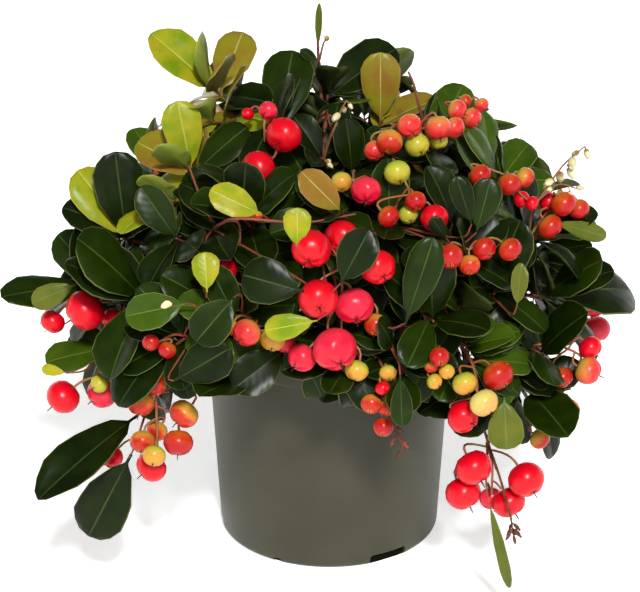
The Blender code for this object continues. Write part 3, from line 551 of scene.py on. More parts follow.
# How far a stem rises straight and how far its tip leans out, by its rise, and the tip's own rise
STEM_FOOT_RUN = 0.45
STEM_TIP_RUN = 0.5
STEM_TIP_RISE = 35
TWIG_RADIUS = 0.95 * MM
TWIG_TIP_RADIUS = 0.7 * MM
STALK_RADIUS = 0.5 * MM
STEM_SIDES = 5
TWIG_SIDES = 3
STEM_STEPS = 5
TWIG_STEPS = 3
FORK_STEP = 8 * MM
GOLDEN_TURN = 137.5
LEAF_WIDTH_SHARE = 0.56
LEAF_THICKNESS_SHARE = 1 / 42
CLEARANCE = 0.35 * MM
# A leaf may touch its own spray up to this share of its length
LEAF_OWN_SHARE = 0.25
# Where along a twig from its tip the leaves with a place of their own are rooted
OWN_LEAF_STEPS = (1.5 * MM, 3 * MM, 4.5 * MM, 0.7 * MM)
OWN_LEAF_ARCH = 18
# How far a stalk bows up from a straight line, in the order they are tried
STALK_BOWS = (0.12, -0.08, 0.3, -0.25)
# How far behind its twig's middle a leaf is rooted
LEAF_ROOT_DEPTH = 0.3 * MM
# Fruit along its stalk, as a share of its size
FRUIT_PITCH = 0.42
# A fruit's middle from its foot on the stalk, out from the stalk and on along it, by its size
FRUIT_OUT = 0.66
FRUIT_ON = 0.22
END_FRUIT_ON = 0.91
FRUIT_HEIGHT_SHARE = 0.92
FRUIT_SHIFTS = (0, 35, -35, 70, -70, 110, -110, 150)
GATHER_STEPS = 20
GATHER_PULL = 0.04
# Two fruits rest on each other at this share of their size, and one with a place of its own may
# be pressed in till this share of its own is left clear
FRUIT_REST = 0.96
FRUIT_PRESSED = 0.48
# How far a fruit may be drawn in, by its size
GATHER_LIMIT = 0.45
# How far a fruit with a place of its own may be moved back or forward to clear the rest, in
# millimetres, in the order they are tried, and the way back, away from someone in front
OWN_FRUIT_MOVES = (0, 1.5, -1.5, 3, -3, 5, -5, 7, 9, 12)
BACK_AWAY = Vector((0, 0.93, -0.37))
# Its stalk runs this far behind it, and its tip points outwards with a stray of this much
STALK_BEHIND = 4 * MM
STALK_END_RISE = 2 * MM
TIP_STRAY = 0.55
SIDE_TWIG_LEAVES = 2
# Where down a twig the stalk of a whole cluster may be rooted
STALK_ROOTS = [step * 3 * MM for step in range(1, 8)]
STALK_ROOT_SHARE = 0.6
# A spray's stem leaves a woody stem at one of these steps of its way up, the last of them its tip,
# and leans along it by these amounts, in the order they are tried. Low and near places are taken
# first: each millimetre that a place is too high counts as so many, and a tip counts as nearer
BRANCH_STEPS = range(4, 21)
BRANCH_LIFTS = (0.5, 0.15, 0.9, 1.6)
BRANCH_BELOW = 10 * MM
BRANCH_HIGH_COST = 0.4
BRANCH_TIP_BONUS = 8 * MM
# The share of it at its root that may come close to others, and a finer step off the stem
BRANCH_ROOT_SHARE = 0.15
SEAT_STEP = 0.05 * MM
# A side twig's length by the spray's leaves, and the hour angles at which it is tried
FORK_SHARE = 0.6
FORK_TURNS = (90, 270, 30, 330, 150, 210)
OWN_LEAF_SHRINKS = (1, 0.92, 0.84)
LEAF_SHIFTS = (0, 22, -22, 45, -45, 68, -68, 90, -90)
FILL_SHRINKS = (0.98, 0.98, 0.9, 0.85, 0.8, 0.75, 0.7)
# How far a leaf on a shoot of its own may be moved forward or back, in millimetres, in the order
# they are tried, and the way forward
REACH_PUSHES = (0, 2, -2, 4, -4, 6, 8, -6)
FORWARD = Vector((0, -0.95, 0.35))
BACKWARDS = Vector((0, 1, 0))
Spray = namedtuple("Spray", "name place bearing rise leaves leaf_length tint turn")
Cluster = namedtuple("Cluster", "spray place bearing rise count size ripeness turn")
OwnFruit = namedtuple("OwnFruit", "x y z size colour")
OwnLeaf = namedtuple("OwnLeaf", "spray bearing rise length tint width", defaults=[LEAF_WIDTH_SHARE])

# The sprays that show from the front. place is the heart of the spray in millimetres, bearing is
# the way it grows (0 towards the front, 90 to the right) and rise its angle above level.
FRONT_SPRAYS = [
    Spray("top_left", (-46, 0, 189), -55, 55, 5, 31, "lime", 20),
    Spray("upper_left", (-54, -34, 168), -45, 50, 5, 28, "lime", 80),
    Spray("left_shoulder", (-80, -36, 140), -62, 42, 5, 34, "dark", 150),
    Spray("left_back_top", (-70, 12, 152), -105, 48, 5, 26, "mid", 10),
    Spray("left_flank", (-72, -66, 127), -50, 18, 5, 37, "dark", 30),
    Spray("far_left", (-94, -16, 112), -85, 8, 5, 32, "dark", 200),
    Spray("left_low", (-88, -44, 96), -65, -8, 5, 27, "mid", 60),
    Spray("left_front", (-57, -84, 116), -32, 6, 5, 27, "dark", 110),
    Spray("left_hanging", (-75, -70, 79), -62, -45, 1, 40, "dark", 15),
    Spray("front_left", (-36, -88, 127), -15, 12, 5, 27, "mid", 170),
    Spray("front_left_low", (-34, -84, 100), -22, -25, 0, 31, "dark", 40),
    Spray("front_middle", (-2, -72, 161), 0, 32, 4, 26, "dark", 95),
    Spray("middle_low", (6, -88, 108), 5, -20, 4, 23, "dark", 0),
    Spray("middle_left", (-33, -62, 158), -20, 42, 5, 30, "dark", 250),
    Spray("left_inner", (-58, -60, 149), -40, 32, 5, 30, "dark", 320),
    Spray("top_left_inner", (-22, -20, 180), -12, 62, 5, 34, "dark", 45),
    Spray("top_middle", (-1, 4, 186), 0, 70, 5, 29, "dark", 100),
    Spray("top_twig", (-5, 10, 218), 180, 86, 0, 11, "mid", 60),
    Spray("upper_middle", (9, -46, 171), 8, 48, 4, 25, "dark", 215),
    Spray("top_right_inner", (21, 2, 176), 25, 66, 4, 29, "bronze", 0),
    Spray("top_right", (40, -18, 172), 40, 52, 5, 28, "dark", 75),
    Spray("top_right_back", (56, 18, 164), 70, 50, 5, 28, "mid", 140),
    Spray("right_inner", (22, -68, 158), 12, 38, 4, 27, "dark", 205),
    Spray("right_shoulder", (66, -32, 162), 55, 45, 5, 28, "mid", 330),
    Spray("right_upper", (82, -42, 143), 66, 18, 5, 27, "dark", 60),
    Spray("right_front", (50, -74, 146), 30, 28, 5, 27, "dark", 280),
    Spray("right_flank", (86, -42, 118), 68, 14, 5, 33, "dark", 25),
    Spray("right_low", (82, -60, 101), 55, -8, 5, 30, "dark", 130),
    Spray("right_low_hanging", (78, -58, 84), 52, -30, 4, 32, "dark", 190),
    Spray("front_right", (38, -86, 126), 20, 8, 5, 28, "dark", 70),
    Spray("front_right_low", (28, -88, 105), 12, -25, 4, 24, "dark", 240),
    Spray("right_fruiting", (54, -82, 106), 32, -10, 4, 25, "mid", 15),
    Spray("right_hanging", (64, -76, 60), 30, -75, 0, 24, "lime", 350),
    Spray("right_core", (62, -64, 128), 42, 10, 5, 28, "dark", 160),
]

# Fruit that shows from a step away, by the spray that bears it: how far to the right, back and up
# its middle is in millimetres, its size and its colour
OWN_FRUIT = {
    "far_left": [
        (-93.5, -58, 119, 16, "red"), (-108, -44, 108.5, 10, "red"), (-83.5, -52, 112.5, 9.5, "red"),
    ],
    "left_low": [
        (-103, -62, 84.5, 13.5, "red"), (-88, -62, 86, 12, "pink"), (-88, -70, 93.5, 7, "green"),
        (-80.5, -60, 94.5, 10, "pink"),
    ],
    "left_front": [
        (-66, -92, 120, 6.5, "scarlet"), (-60, -92, 117, 7, "scarlet"),
    ],
    "left_hanging": [
        (-66, -80, 98.5, 10, "scarlet"), (-53, -80, 99, 9.5, "orange"), (-71.5, -80, 90, 10.5, "orange"),
        (-55, -84, 87.5, 11.5, "orange"), (-57.5, -84, 75.5, 11.5, "scarlet"),
        (-71.5, -78, 73, 10, "orange"), (-66.5, -73, 75, 8.5, "orange"), (-66.5, -87, 71.5, 9, "yellow"),
        (-68.5, -77, 62, 12.5, "red"), (-85, -66, 61, 10, "red"),
    ],
    "front_left": [
        (-30.5, -98, 126.5, 10.5, "rose"), (-21, -97, 123.5, 9.5, "yellow"),
        (-16.5, -92, 119.5, 7.5, "pink"), (-36.5, -92, 126, 6.5, "orange"),
    ],
    "left_inner": [
        (-40.5, -74, 142.5, 12.5, "red"), (-27, -76, 163.5, 4.5, "orange"),
    ],
    "front_middle": [
        (-7, -98, 159, 14.5, "red"), (4, -88, 160, 12.5, "red"), (17, -98, 152, 13, "red"),
        (-4.5, -105, 142.5, 14.5, "red"), (8.5, -98, 137, 14.5, "pink"),
        (1.5, -104, 122.5, 16.5, "pink"), (-10.5, -94, 115, 11, "pink"), (9.5, -98, 111.5, 9, "yellow"),
        (16.5, -93, 127.5, 9, "orange"),
    ],
    "middle_low": [
        (21, -97, 110, 6.5, "yellow"), (19, -98, 104.5, 5.5, "red"),
    ],
    "front_right_low": [
        (15, -97, 97.5, 8, "orange"), (21, -96, 95.5, 6.5, "orange"), (19.5, -97, 88, 7.5, "scarlet"),
    ],
    "front_right": [
        (38, -99, 107.5, 6, "yellow"), (42.5, -98, 111, 6, "yellow"), (37, -97, 112.5, 5.5, "orange"),
        (39.5, -98, 117, 7.5, "scarlet"),
    ],
    "right_fruiting": [
        (62, -90, 106, 12, "scarlet"), (49.5, -94, 104.5, 9.5, "yellow"), (56.5, -98, 98.5, 11, "pale"),
        (49.5, -90, 89, 12.5, "red"),
    ],
    "right_hanging": [
        (54.5, -84, 65, 14.5, "red"), (51, -88, 55.5, 14, "red"), (75, -80, 58, 14.5, "red"),
        (69, -84, 49.5, 13.5, "red"), (63, -75, 46.5, 9.5, "pink"),
    ],
    "right_low_hanging": [
        (80.5, -72, 71.5, 8.5, "orange"), (91, -66, 80.5, 10.5, "rose"),
    ],
    "right_low": [
        (99, -62, 95.5, 11, "rose"), (100, -57, 103, 9.5, "red"), (89, -64, 93.5, 8.5, "scarlet"),
    ],
    "right_front": [
        (43, -90, 153, 9.5, "scarlet"), (50.5, -88, 149, 8, "orange"), (56, -86, 154.5, 9, "scarlet"),
        (65.5, -84, 153.5, 9, "scarlet"), (36.5, -86, 152.5, 6, "orange"),
    ],
    "right_upper": [
        (88.5, -48, 158.5, 10, "scarlet"), (95, -43, 154.5, 8.5, "scarlet"),
        (83.5, -44, 158, 7.5, "red"), (83.5, -50, 150, 10, "scarlet"),
    ],
    "right_shoulder": [
        (56, -56, 172.5, 8.5, "scarlet"), (67, -56, 169, 9, "scarlet"), (73, -51, 170, 8, "orange"),
        (72, -53, 162, 6.5, "red"), (75.5, -55, 161, 5.5, "red"),
    ],
    "right_inner": [
        (21, -82, 165.5, 8.5, "scarlet"), (31, -78, 170, 8, "scarlet"), (28.5, -78, 165, 7.5, "green"),
        (38, -78, 163.5, 10.5, "red"), (24.5, -66, 177, 10, "green"),
    ],
    "upper_middle": [
        (4, -68, 174, 8, "yellow"), (13, -72, 172, 11.5, "pink"),
    ],
    "top_right": [
        (22, -54, 185, 10, "orange"), (16.5, -52, 181, 8, "rose"), (29.5, -50, 190, 9.5, "rose"),
        (32.5, -52, 183.5, 9.5, "green"), (40.5, -46, 188, 10, "rose"), (47, -38, 185.5, 8.5, "rose"),
        (41, -43, 182, 7, "green"),
    ],
    "top_right_back": [
        (48.5, -27, 189, 8.5, "rose"), (54.5, -25, 185.5, 8, "rose"), (58.5, -18, 188.5, 6, "rose"),
        (52, -20, 190.5, 5.5, "scarlet"),
    ],
    "top_left_inner": [
        (-17.5, -44, 184.5, 14, "red"), (-27, -52, 174, 13.5, "red"), (-23.5, -36, 191.5, 7.5, "pink"),
        (-31.5, -30, 188.5, 5, "red"),
    ],
}

# Leaves with a place of their own in the outline, set on the tip of their spray's main twig
OWN_LEAVES = [
    OwnLeaf("far_left", -44, 8, 47, "dark", 0.34), OwnLeaf("far_left", -7, 46, 38, "dark"),
    OwnLeaf("left_hanging", -41, -21, 53, "dark", 0.37), OwnLeaf("left_low", -60, -4, 26, "mid"),
    OwnLeaf("left_flank", -43, 43, 40, "dark"), OwnLeaf("left_shoulder", -28, 72, 36, "dark"),
    OwnLeaf("left_shoulder", -104, 47, 34, "lime"), OwnLeaf("left_back_top", -140, 35, 24, "mid"),
    OwnLeaf("upper_left", -94, 72, 28, "lime"), OwnLeaf("upper_left", 104, 35, 28, "dark"),
    OwnLeaf("top_left", -97, 37, 35, "lime"), OwnLeaf("top_left", 153, 42, 30, "bronze"),
    OwnLeaf("top_left", 46, 3, 26, "dark"), OwnLeaf("top_left_inner", 165, 47, 37, "dark"),
    OwnLeaf("top_left_inner", 27, -29, 34, "dark"), OwnLeaf("middle_left", 1, 46, 30, "dark"),
    OwnLeaf("top_middle", 119, 23, 37, "dark"), OwnLeaf("top_middle", 155, 47, 25, "dark"),
    OwnLeaf("top_middle", -39, 30, 30, "dark"), OwnLeaf("top_right_inner", -5, 76, 29, "bronze"),
    OwnLeaf("top_right", 139, 44, 30, "mid"), OwnLeaf("right_shoulder", 143, 22, 26, "mid"),
    OwnLeaf("right_upper", 129, -10, 36, "mid", 0.36), OwnLeaf("right_flank", 124, -12, 48, "dark"),
    OwnLeaf("right_flank", 39, 36, 34, "dark"), OwnLeaf("right_core", 32, 59, 34, "dark"),
    OwnLeaf("right_low", 28, 41, 34, "dark"), OwnLeaf("right_low_hanging", 18, -6, 36, "dark"),
    OwnLeaf("front_right", -7, 61, 34, "dark"), OwnLeaf("front_right_low", -3, -16, 24, "dark"),
    OwnLeaf("front_left_low", -22, 11, 33, "dark"), OwnLeaf("front_middle", 26, -42, 28, "dark"),
]

# The rest of the crown: rings of sprays round the back, evenly turned
BACK_RINGS = [
    # height of the heart, distance from the pot's axis, sprays, first and last bearing, rise
    (98, 94, 6, 96, 258, -6),
    (132, 88, 6, 110, 250, 20),
    (165, 54, 4, 122, 232, 50),
]
BACK_LEAVES = 4
BACK_LEAF_LENGTH = 30
BACK_FRUITS = (3, 0, 2, 0, 3, 0)
BACK_FRUIT_SIZE = 12.5
BACK_FRUIT_REACH = 13

# Stems: bearing, distance of the foot and of the tip from the pot's axis, height of the tip
STEMS = [
    (-80, 15, 48, 128),
    (-40, 17, 48, 134),
    (0, 16, 40, 128),
    (42, 17, 50, 134),
    (84, 15, 48, 128),
    (135, 15, 46, 130),
    (215, 15, 46, 130),
    (20, 3, 8, 166),
]

# Leaves down a twig from its tip: length against the spray's own, and angle from the twig
LEAF_SIZES = (0.85, 0.97, 1.06, 1.0, 0.92)
LEAF_LIFTS = (32, 48, 60, 68, 76)
LEAF_FIRST = 0.5 * MM
LEAF_SPACING = 4.2 * MM
LEAF_ARCH = 28
LEAF_UPTURN = 0.12
# The way the leaves with a place of their own turn their faces: up and to the front
OWN_LEAF_LIGHT = Vector((0, -0.6, 0.8))

LeafPlace = namedtuple("LeafPlace", "root along face length arch width")


def square_to(axis, way):
    """The unit way square to an axis that is nearest to another way."""
    return (way - axis * way.dot(axis)).normalized()


def across(axis, clock, top=None):
    """The unit way square to an axis, at an hour angle seen from the axis's own tip (0 is the top)."""
    if top is None:
        top = square_to(axis, UP if abs(axis.z) < 0.999 else BACKWARDS)
    turn = math.radians(clock)
    return top * math.cos(turn) + top.cross(axis) * math.sin(turn)


def curve_point(route, share):
    """The point at a share of the way along a cubic curve of four control points."""
    a, b, c, d = route
    rest = 1 - share
    return a * rest**3 + b * (3 * rest**2 * share) + c * (3 * rest * share**2) + d * share**3


def along_curve(route, steps):
    """Evenly shared points along a cubic curve, both ends with them."""
    return [curve_point(route, step / steps) for step in range(steps + 1)]


def curve_way(route, share):
    """The unit way along a cubic curve at a share of its length."""
    near, far = max(share - 0.02, 0), min(share + 0.02, 1)
    return (curve_point(route, far) - curve_point(route, near)).normalized()


def smoothed(points, per_run=4):
    """Points on a smooth line through the given ones."""
    ends = [points[0] * 2 - points[1], *points, points[-1] * 2 - points[-2]]
    line = []
    for a, b, c, d in zip(ends, ends[1:], ends[2:], ends[3:]):
        for step in range(per_run):
            t = step / per_run
            line.append(0.5 * (
                b * 2 + (c - a) * t + (a * 2 - b * 5 + c * 4 - d) * t * t + (b * 3 - a - c * 3 + d) * t ** 3
            ))
    return line + [points[-1]]


def tube(points, radii, sides, first_way=None):
    """A closed tapering limb through the points, as vertices and faces."""
    vertices, faces = [], []
    top = None
    for index, (point, radius) in enumerate(zip(points, radii)):
        before, after = points[max(index - 1, 0)], points[min(index + 1, len(points) - 1)]
        axis = (after - before).normalized()
        if index == 0 and first_way is not None:
            axis = first_way
        # Each ring takes its top from the ring before, so the limb has no twist
        top = across(axis, 0) if top is None else square_to(axis, top)
        for side in range(sides):
            vertices.append(point + across(axis, 360 * side / sides, top) * radius)
    for index in range(len(points) - 1):
        for side in range(sides):
            low, next_low = index * sides + side, index * sides + (side + 1) % sides
            faces.append((low, low + sides, next_low + sides, next_low))
    faces.append(tuple(range(sides)))
    faces.append(tuple(reversed(range(len(vertices) - sides, len(vertices)))))
    return vertices, faces


# A leaf's two wide places: share of its length, and half-width as a share of its greatest
LEAF_STATIONS = ((0.30, 0.90), (0.68, 0.92))
LEAF_KEEL_SHARE = 0.33
# The face above the keel is level, so a leaf is as thick as its keel is deep
LEAF_FACES = (
    (0, 1, 2), (1, 3, 4, 2), (3, 5, 4),
    (0, 6, 1), (1, 6, 3), (3, 6, 5), (5, 6, 4), (4, 6, 2), (2, 6, 0),
)


def leaf_solid(leaf, grown=0.0, first=0.0):
    """A leaf as vertices and faces: root, two wide places, tip, and a keel point below.

    The leaf leaves its root along its way, bends down from its upper face by its arch, and can be
    grown on all sides for clearance tests, or start at a share of its length past its root.
    """
    root, along, face, length, arch, width_share = leaf
    side = along.cross(face).normalized()
    bend = math.radians(arch)
    half_width = length * width_share / 2

    def midrib(share):
        angle = bend * share
        reach = length * (math.sin(angle) / bend)
        sag = length * ((1 - math.cos(angle)) / bend)
        return root + along * reach - face * sag

    def lifted(share):
        return face * math.cos(bend * share) + along * math.sin(bend * share)

    vertices = [midrib(first) + face * grown]
    for share, width in LEAF_STATIONS:
        edge = side * (half_width * width + grown)
        top = midrib(share) + lifted(share) * grown
        vertices += [top + edge, top - edge]
    vertices.append(midrib(1.0) + along * grown)
    depth = length * LEAF_THICKNESS_SHARE + grown
    vertices.append(midrib(LEAF_KEEL_SHARE) - lifted(LEAF_KEEL_SHARE) * depth)
    return vertices, LEAF_FACES


def ball():
    """A unit ball of twenty faces with the middle of one face at its foot."""
    shell = bmesh.new()
    bmesh.ops.create_icosphere(shell, subdivisions=1, radius=1)
    shell.faces.ensure_lookup_table()
    turn = shell.faces[0].normal.rotation_difference(-UP)
    vertices, faces = let_go(shell)
    return [turn @ vertex for vertex in vertices], faces


BALL = ball()


def fruit_solid(centre, axis, size):
    """A fruit as vertices and faces: a slightly flattened ball with its foot on the stalk."""
    turn = UP.rotation_difference(axis)
    vertices = []
    for point in BALL[0]:
        flat = Vector((point.x, point.y, point.z * FRUIT_HEIGHT_SHARE))
        vertices.append(centre + turn @ flat * (size / 2))
    return vertices, BALL[1]


class Room:
    """Everything placed so far, in cells, so that each new piece can be kept clear of it."""

    CELL = 12 * MM

    def __init__(self):
        self.cells = defaultdict(list)

    @staticmethod
    def box(vertices):
        low = [min(v[i] for v in vertices) for i in range(3)]
        high = [max(v[i] for v in vertices) for i in range(3)]
        return low, high

    def cells_of(self, low, high):
        return product(*(
            range(math.floor(low[i] / self.CELL), math.floor(high[i] / self.CELL) + 1) for i in range(3)
        ))

    def add(self, shape, owner):
        box = self.box(shape[0])
        item = (box, BVHTree.FromPolygons(*shape), owner)
        for cell in self.cells_of(*box):
            self.cells[cell].append(item)

    def near(self, low, high, without=None):
        """What was placed by others where its box meets the box between two corners."""
        seen = set()
        for cell in self.cells_of(low, high):
            for item in self.cells.get(cell, ()):
                (item_low, item_high), tree, owner = item
                if id(item) in seen or owner == without:
                    continue
                seen.add(id(item))
                if all(low[i] < item_high[i] and high[i] > item_low[i] for i in range(3)):
                    yield tree

    def touches(self, shape, without=None):
        """Whether a shape meets anything placed so far, apart from what one owner placed."""
        low, high = self.box(shape[0])
        own_tree = BVHTree.FromPolygons(*shape)
        return any(own_tree.overlap(tree) for tree in self.near(low, high, without))

    def crowds(self, centre, radius):
        """Whether anything lies within a radius of a point."""
        low, high = [c - radius for c in centre], [c + radius for c in centre]
        return any(tree.find_nearest(centre, radius)[0] is not None for tree in self.near(low, high))


room = Room()


class Stem:
    """One tapering woody stem, from a flat cut on the mix to its tip inside the crown."""

    def __init__(self, index, bearing, foot_reach, tip_reach, tip_height):
        self.name = f"stem_{index}"
        foot = heading(bearing, 0) * foot_reach * MM + UP * (MIX_TOP_HEIGHT + FIT_GAP)
        tip = heading(bearing, 0) * tip_reach * MM + UP * tip_height * MM
        rise = tip.z - foot.z
        lean = heading(bearing, STEM_TIP_RISE)
        self.route = (foot, foot + UP * rise * STEM_FOOT_RUN, tip - lean * rise * STEM_TIP_RUN, tip)
        shape = tube(*self.line(STEM_STEPS), STEM_SIDES, UP)
        room.add(shape, self.name)
        self.tree = BVHTree.FromPolygons(*shape)

    def line(self, steps):
        """Points along the stem, and its radius at each."""
        return along_curve(self.route, steps), [self.radius(step / steps) for step in range(steps + 1)]

    def radius(self, share):
        taper = STEM_FOOT_RADIUS + (STEM_TIP_RADIUS - STEM_FOOT_RADIUS) * share
        flare = 1 + (STEM_FLARE - 1) * max(0, 1 - share / FLARE_SHARE)
        return taper * flare

    def seat(self, share, leave, radius):
        """Where a twig's cut end, of a given radius, stands clear of the stem by the gap."""
        middle, way = curve_point(self.route, share), curve_way(self.route, share)
        slant = math.sqrt(max(1 - leave.dot(way) ** 2, 0.01))
        reach = FIT_GAP if share == 1 else (self.radius(share) + FIT_GAP) / slant
        while True:
            centre = middle + leave * reach
            rim = [centre] + [
                centre + across(leave, 360 * side / TWIG_SIDES) * radius for side in range(TWIG_SIDES)
            ]
            if all(self.tree.find_nearest(point)[3] >= FIT_GAP for point in rim):
                return centre
            reach += SEAT_STEP


class Limb:
    """A limb of straight runs through points, tapering from its root to its tip."""

    def __init__(self, points, first_radius, last_radius, first_way=None):
        self.points = points
        steps = len(points) - 1
        taper = (last_radius - first_radius) / steps
        self.radii = [first_radius + taper * step for step in range(steps + 1)]
        self.runs = [(after - before).length for before, after in zip(points, points[1:])]
        self.length = sum(self.runs)
        self.shape = tube(points, self.radii, TWIG_SIDES, first_way)

    def at(self, from_tip):
        """The point in the middle of the limb at a distance from its tip, and the limb's way there."""
        for index in reversed(range(len(self.runs))):
            before, after = self.points[index], self.points[index + 1]
            if from_tip <= self.runs[index] or index == 0:
                way = (after - before).normalized()
                return after - way * min(from_tip, self.runs[index]), way
            from_tip -= self.runs[index]

    def envelope(self, without=0.0):
        """The limb's space with the clearance round it, but for a length at its root."""
        first, way = self.at(self.length - without)
        later = [point for point in self.points[1:] if (point - first).dot(way) > 0.1 * MM]
        grown = (max(self.radii) + CLEARANCE) / math.cos(math.pi / 6)
        return tube([first] + later, [grown] * (len(later) + 1), 6)


def gathered(fruit):
    """The middles of one cluster's fruit, drawn together until they rest on each other."""
    first_places = [each[1] for each in fruit]
    places = [place.copy() for place in first_places]
    middle = sum(places, Vector()) / max(len(places), 1)
    for _ in range(GATHER_STEPS):
        places = [place.lerp(middle, GATHER_PULL) for place in places]
        for one, other in combinations(range(len(places)), 2):
            apart = places[other] - places[one]
            size = (fruit[one][3] + fruit[other][3]) / 2
            push = apart.normalized() * max(0, size * FRUIT_REST - apart.length) / 2
            places[one] -= push
            places[other] += push
    limit = GATHER_LIMIT * fruit[0][3] if fruit else 0
    return [
        start + (place - start) * min(1, limit / max((place - start).length, 1e-9))
        for start, place in zip(first_places, places)
    ]


class Growth:
    """One spray: its twigs, and the places of the fruit and leaves that are rooted in them."""

    def __init__(self, spray):
        self.spray = spray
        self.heart = Vector(spray.place) * MM
        self.axis = heading(spray.bearing, spray.rise)
        self.length = spray.leaf_length * MM
        self.draw = random.Random(spray.name)
        self.twigs, self.shoots, self.stalks = [], [], []
        self.leaves, self.fruit = [], []
        self.reach = 0

    def branch_off(self, stems):
        """Grow the spray's own stem from the nearest clear place on the stems to its heart."""
        places = []
        for stem in stems:
            for step in BRANCH_STEPS:
                share = step / BRANCH_STEPS[-1]
                point = curve_point(stem.route, share)
                too_high = max(point.z - self.heart.z + BRANCH_BELOW, 0)
                bonus = BRANCH_TIP_BONUS if share == 1 else 0
                cost = (self.heart - point).length + BRANCH_HIGH_COST * too_high - bonus
                places.append((cost, stem, share, point))
        places.sort(key=lambda place: place[0])
        for _, stem, share, point in places:
            way = curve_way(stem.route, share)
            side = self.heart - point
            side = (side - way * side.dot(way)).normalized()
            for lift in BRANCH_LIFTS:
                leave = way if share == 1 else (side + way * lift).normalized()
                start = stem.seat(share, leave, TWIG_RADIUS)
                span = (self.heart - start).length
                bends = (start + leave * span * 0.35, self.heart - self.axis * span * 0.4)
                line = along_curve((start, *bends, self.heart), TWIG_STEPS)
                twig = Limb(line, TWIG_RADIUS, TWIG_TIP_RADIUS, leave)
                envelope = twig.envelope(BRANCH_ROOT_SHARE * span)
                if not room.touches(twig.shape) and not room.touches(envelope):
                    self.twigs.append(twig)
                    room.add(twig.shape, self.spray.name)
                    return
        raise ValueError(f"no way in for the stem of {self.spray.name}")

    def fork(self, step=0):
        """Grow a side twig from the spray's stem where one fits, the next ones further down."""
        main = self.twigs[0]
        reach = self.length * FORK_SHARE
        root, way = main.at(min(0.8 * reach + step * FORK_STEP, (0.6 + 0.1 * step) * main.length))
        for turn in FORK_TURNS:
            out = (across(way, self.spray.turn + turn + 50 * step) + way * 0.5).normalized()
            tip = root + out * reach
            route = (root, root + out * reach * 0.3, tip - self.axis * reach * 0.35, tip)
            twig = Limb(along_curve(route, 2), TWIG_TIP_RADIUS, TWIG_TIP_RADIUS * 0.85)
            if room.touches(twig.envelope(0.3 * reach)) or room.touches(twig.shape, self.spray.name):
                continue
            self.twigs.append(twig)
            room.add(twig.shape, self.spray.name)
            return

    def set_fruit(self, cluster):
        """Grow a stalk from the spray to the cluster's place, with fruit turning round its end."""
        size = cluster.size * MM
        hang = heading(cluster.bearing, cluster.rise)
        middle = Vector(cluster.place) * MM
        run = FRUIT_PITCH * size * max(cluster.count - 1, 0) + 0.1 * size
        first, last = middle - hang * run / 2, middle + hang * run / 2
        backs = [back for back in STALK_ROOTS if back < STALK_ROOT_SHARE * self.twigs[0].length]
        roots = [self.twigs[0].at(back)[0] for back in backs]
        roots.sort(key=lambda root: (root - first).length)
        for bow_share, root in product(STALK_BOWS, roots):
            bow = (root + first) / 2 + UP * bow_share * (first - root).length
            stalk = Limb([root, bow, first, last], TWIG_TIP_RADIUS, STALK_RADIUS)
            if not room.touches(stalk.shape, self.spray.name):
                break
        else:
            return
        room.add(stalk.shape, self.spray.name)
        self.stalks.append((stalk.points, TWIG_TIP_RADIUS, STALK_RADIUS))
        for index in range(cluster.count):
            share = (index + 0.3) / cluster.count
            self.set_one_fruit(cluster, first.lerp(last, share), index, size, hang)
        for place, centre in enumerate(gathered(self.fruit)):
            foot, _, way, size, ripeness = self.fruit[place]
            self.fruit[place] = (foot, centre, way, size, ripeness)
            room.add(fruit_solid(centre, way, size), self.spray.name)

    def set_one_fruit(self, cluster, foot, index, size, hang):
        """Set one fruit beside its stalk, or on its end where it is the last."""
        end = index == cluster.count - 1
        for shift in FRUIT_SHIFTS:
            out = across(hang, cluster.turn + GOLDEN_TURN * index + shift)
            away = out * FRUIT_OUT * size + hang * FRUIT_ON * size
            if end and shift == 0:
                away = hang * END_FRUIT_ON * size
            centre = foot + away
            if centre.z < size or room.crowds(centre, size / 2 + CLEARANCE):
                continue
            way = away.normalized()
            footstalk = tube([foot, centre - way * 0.3 * size], [STALK_RADIUS] * 2, TWIG_SIDES)
            if room.touches(footstalk, self.spray.name):
                continue
            room.add(footstalk, self.spray.name)
            room.add(fruit_solid(centre, way, size), self.spray.name)
            self.fruit.append((foot, centre, way, size, cluster.ripeness))
            return

    def set_own_fruit(self, fruit):
        """Set each fruit at its own place, on a stalk that runs down behind them."""
        draw = random.Random(self.spray.name + " fruit")
        set_here = []
        for each in fruit:
            size = each.size * MM
            for move in OWN_FRUIT_MOVES:
                centre = (Vector((each.x, each.y, each.z)) + BACK_AWAY * move) * MM
                if not room.crowds(centre, size * FRUIT_PRESSED):
                    break
            else:
                continue
            stray = Vector([draw.uniform(-TIP_STRAY, TIP_STRAY) for _ in range(3)])
            way = (Vector((centre.x, centre.y, 0)).normalized() + stray).normalized()
            room.add(fruit_solid(centre, way, size), self.spray.name)
            set_here.append((centre, way, size, each.colour))
        middle = sum((each[0] for each in set_here), Vector()) / len(set_here) + BACK_AWAY * STALK_BEHIND
        high, low = (pick(each[0].z for each in set_here) for pick in (max, min))
        first, last = (middle + UP * (0.6 * (level - middle.z)) for level in (high, low))
        root = self.nearest_limb(first)
        bow = (root + first) / 2 + UP * STALK_BOWS[0] * (first - root).length
        points = [root, bow, first]
        if high > low:
            points.append(last + UP * STALK_END_RISE)
        self.stalks.append((points, TWIG_TIP_RADIUS, STALK_RADIUS))
        feet = smoothed(points)[2:]
        for centre, way, size, colour in set_here:
            top = centre + UP * size * 0.6
            foot = min(feet, key=lambda point: (point - top).length + max(0, top.z - point.z))
            self.fruit.append((foot, centre, way, size, colour))

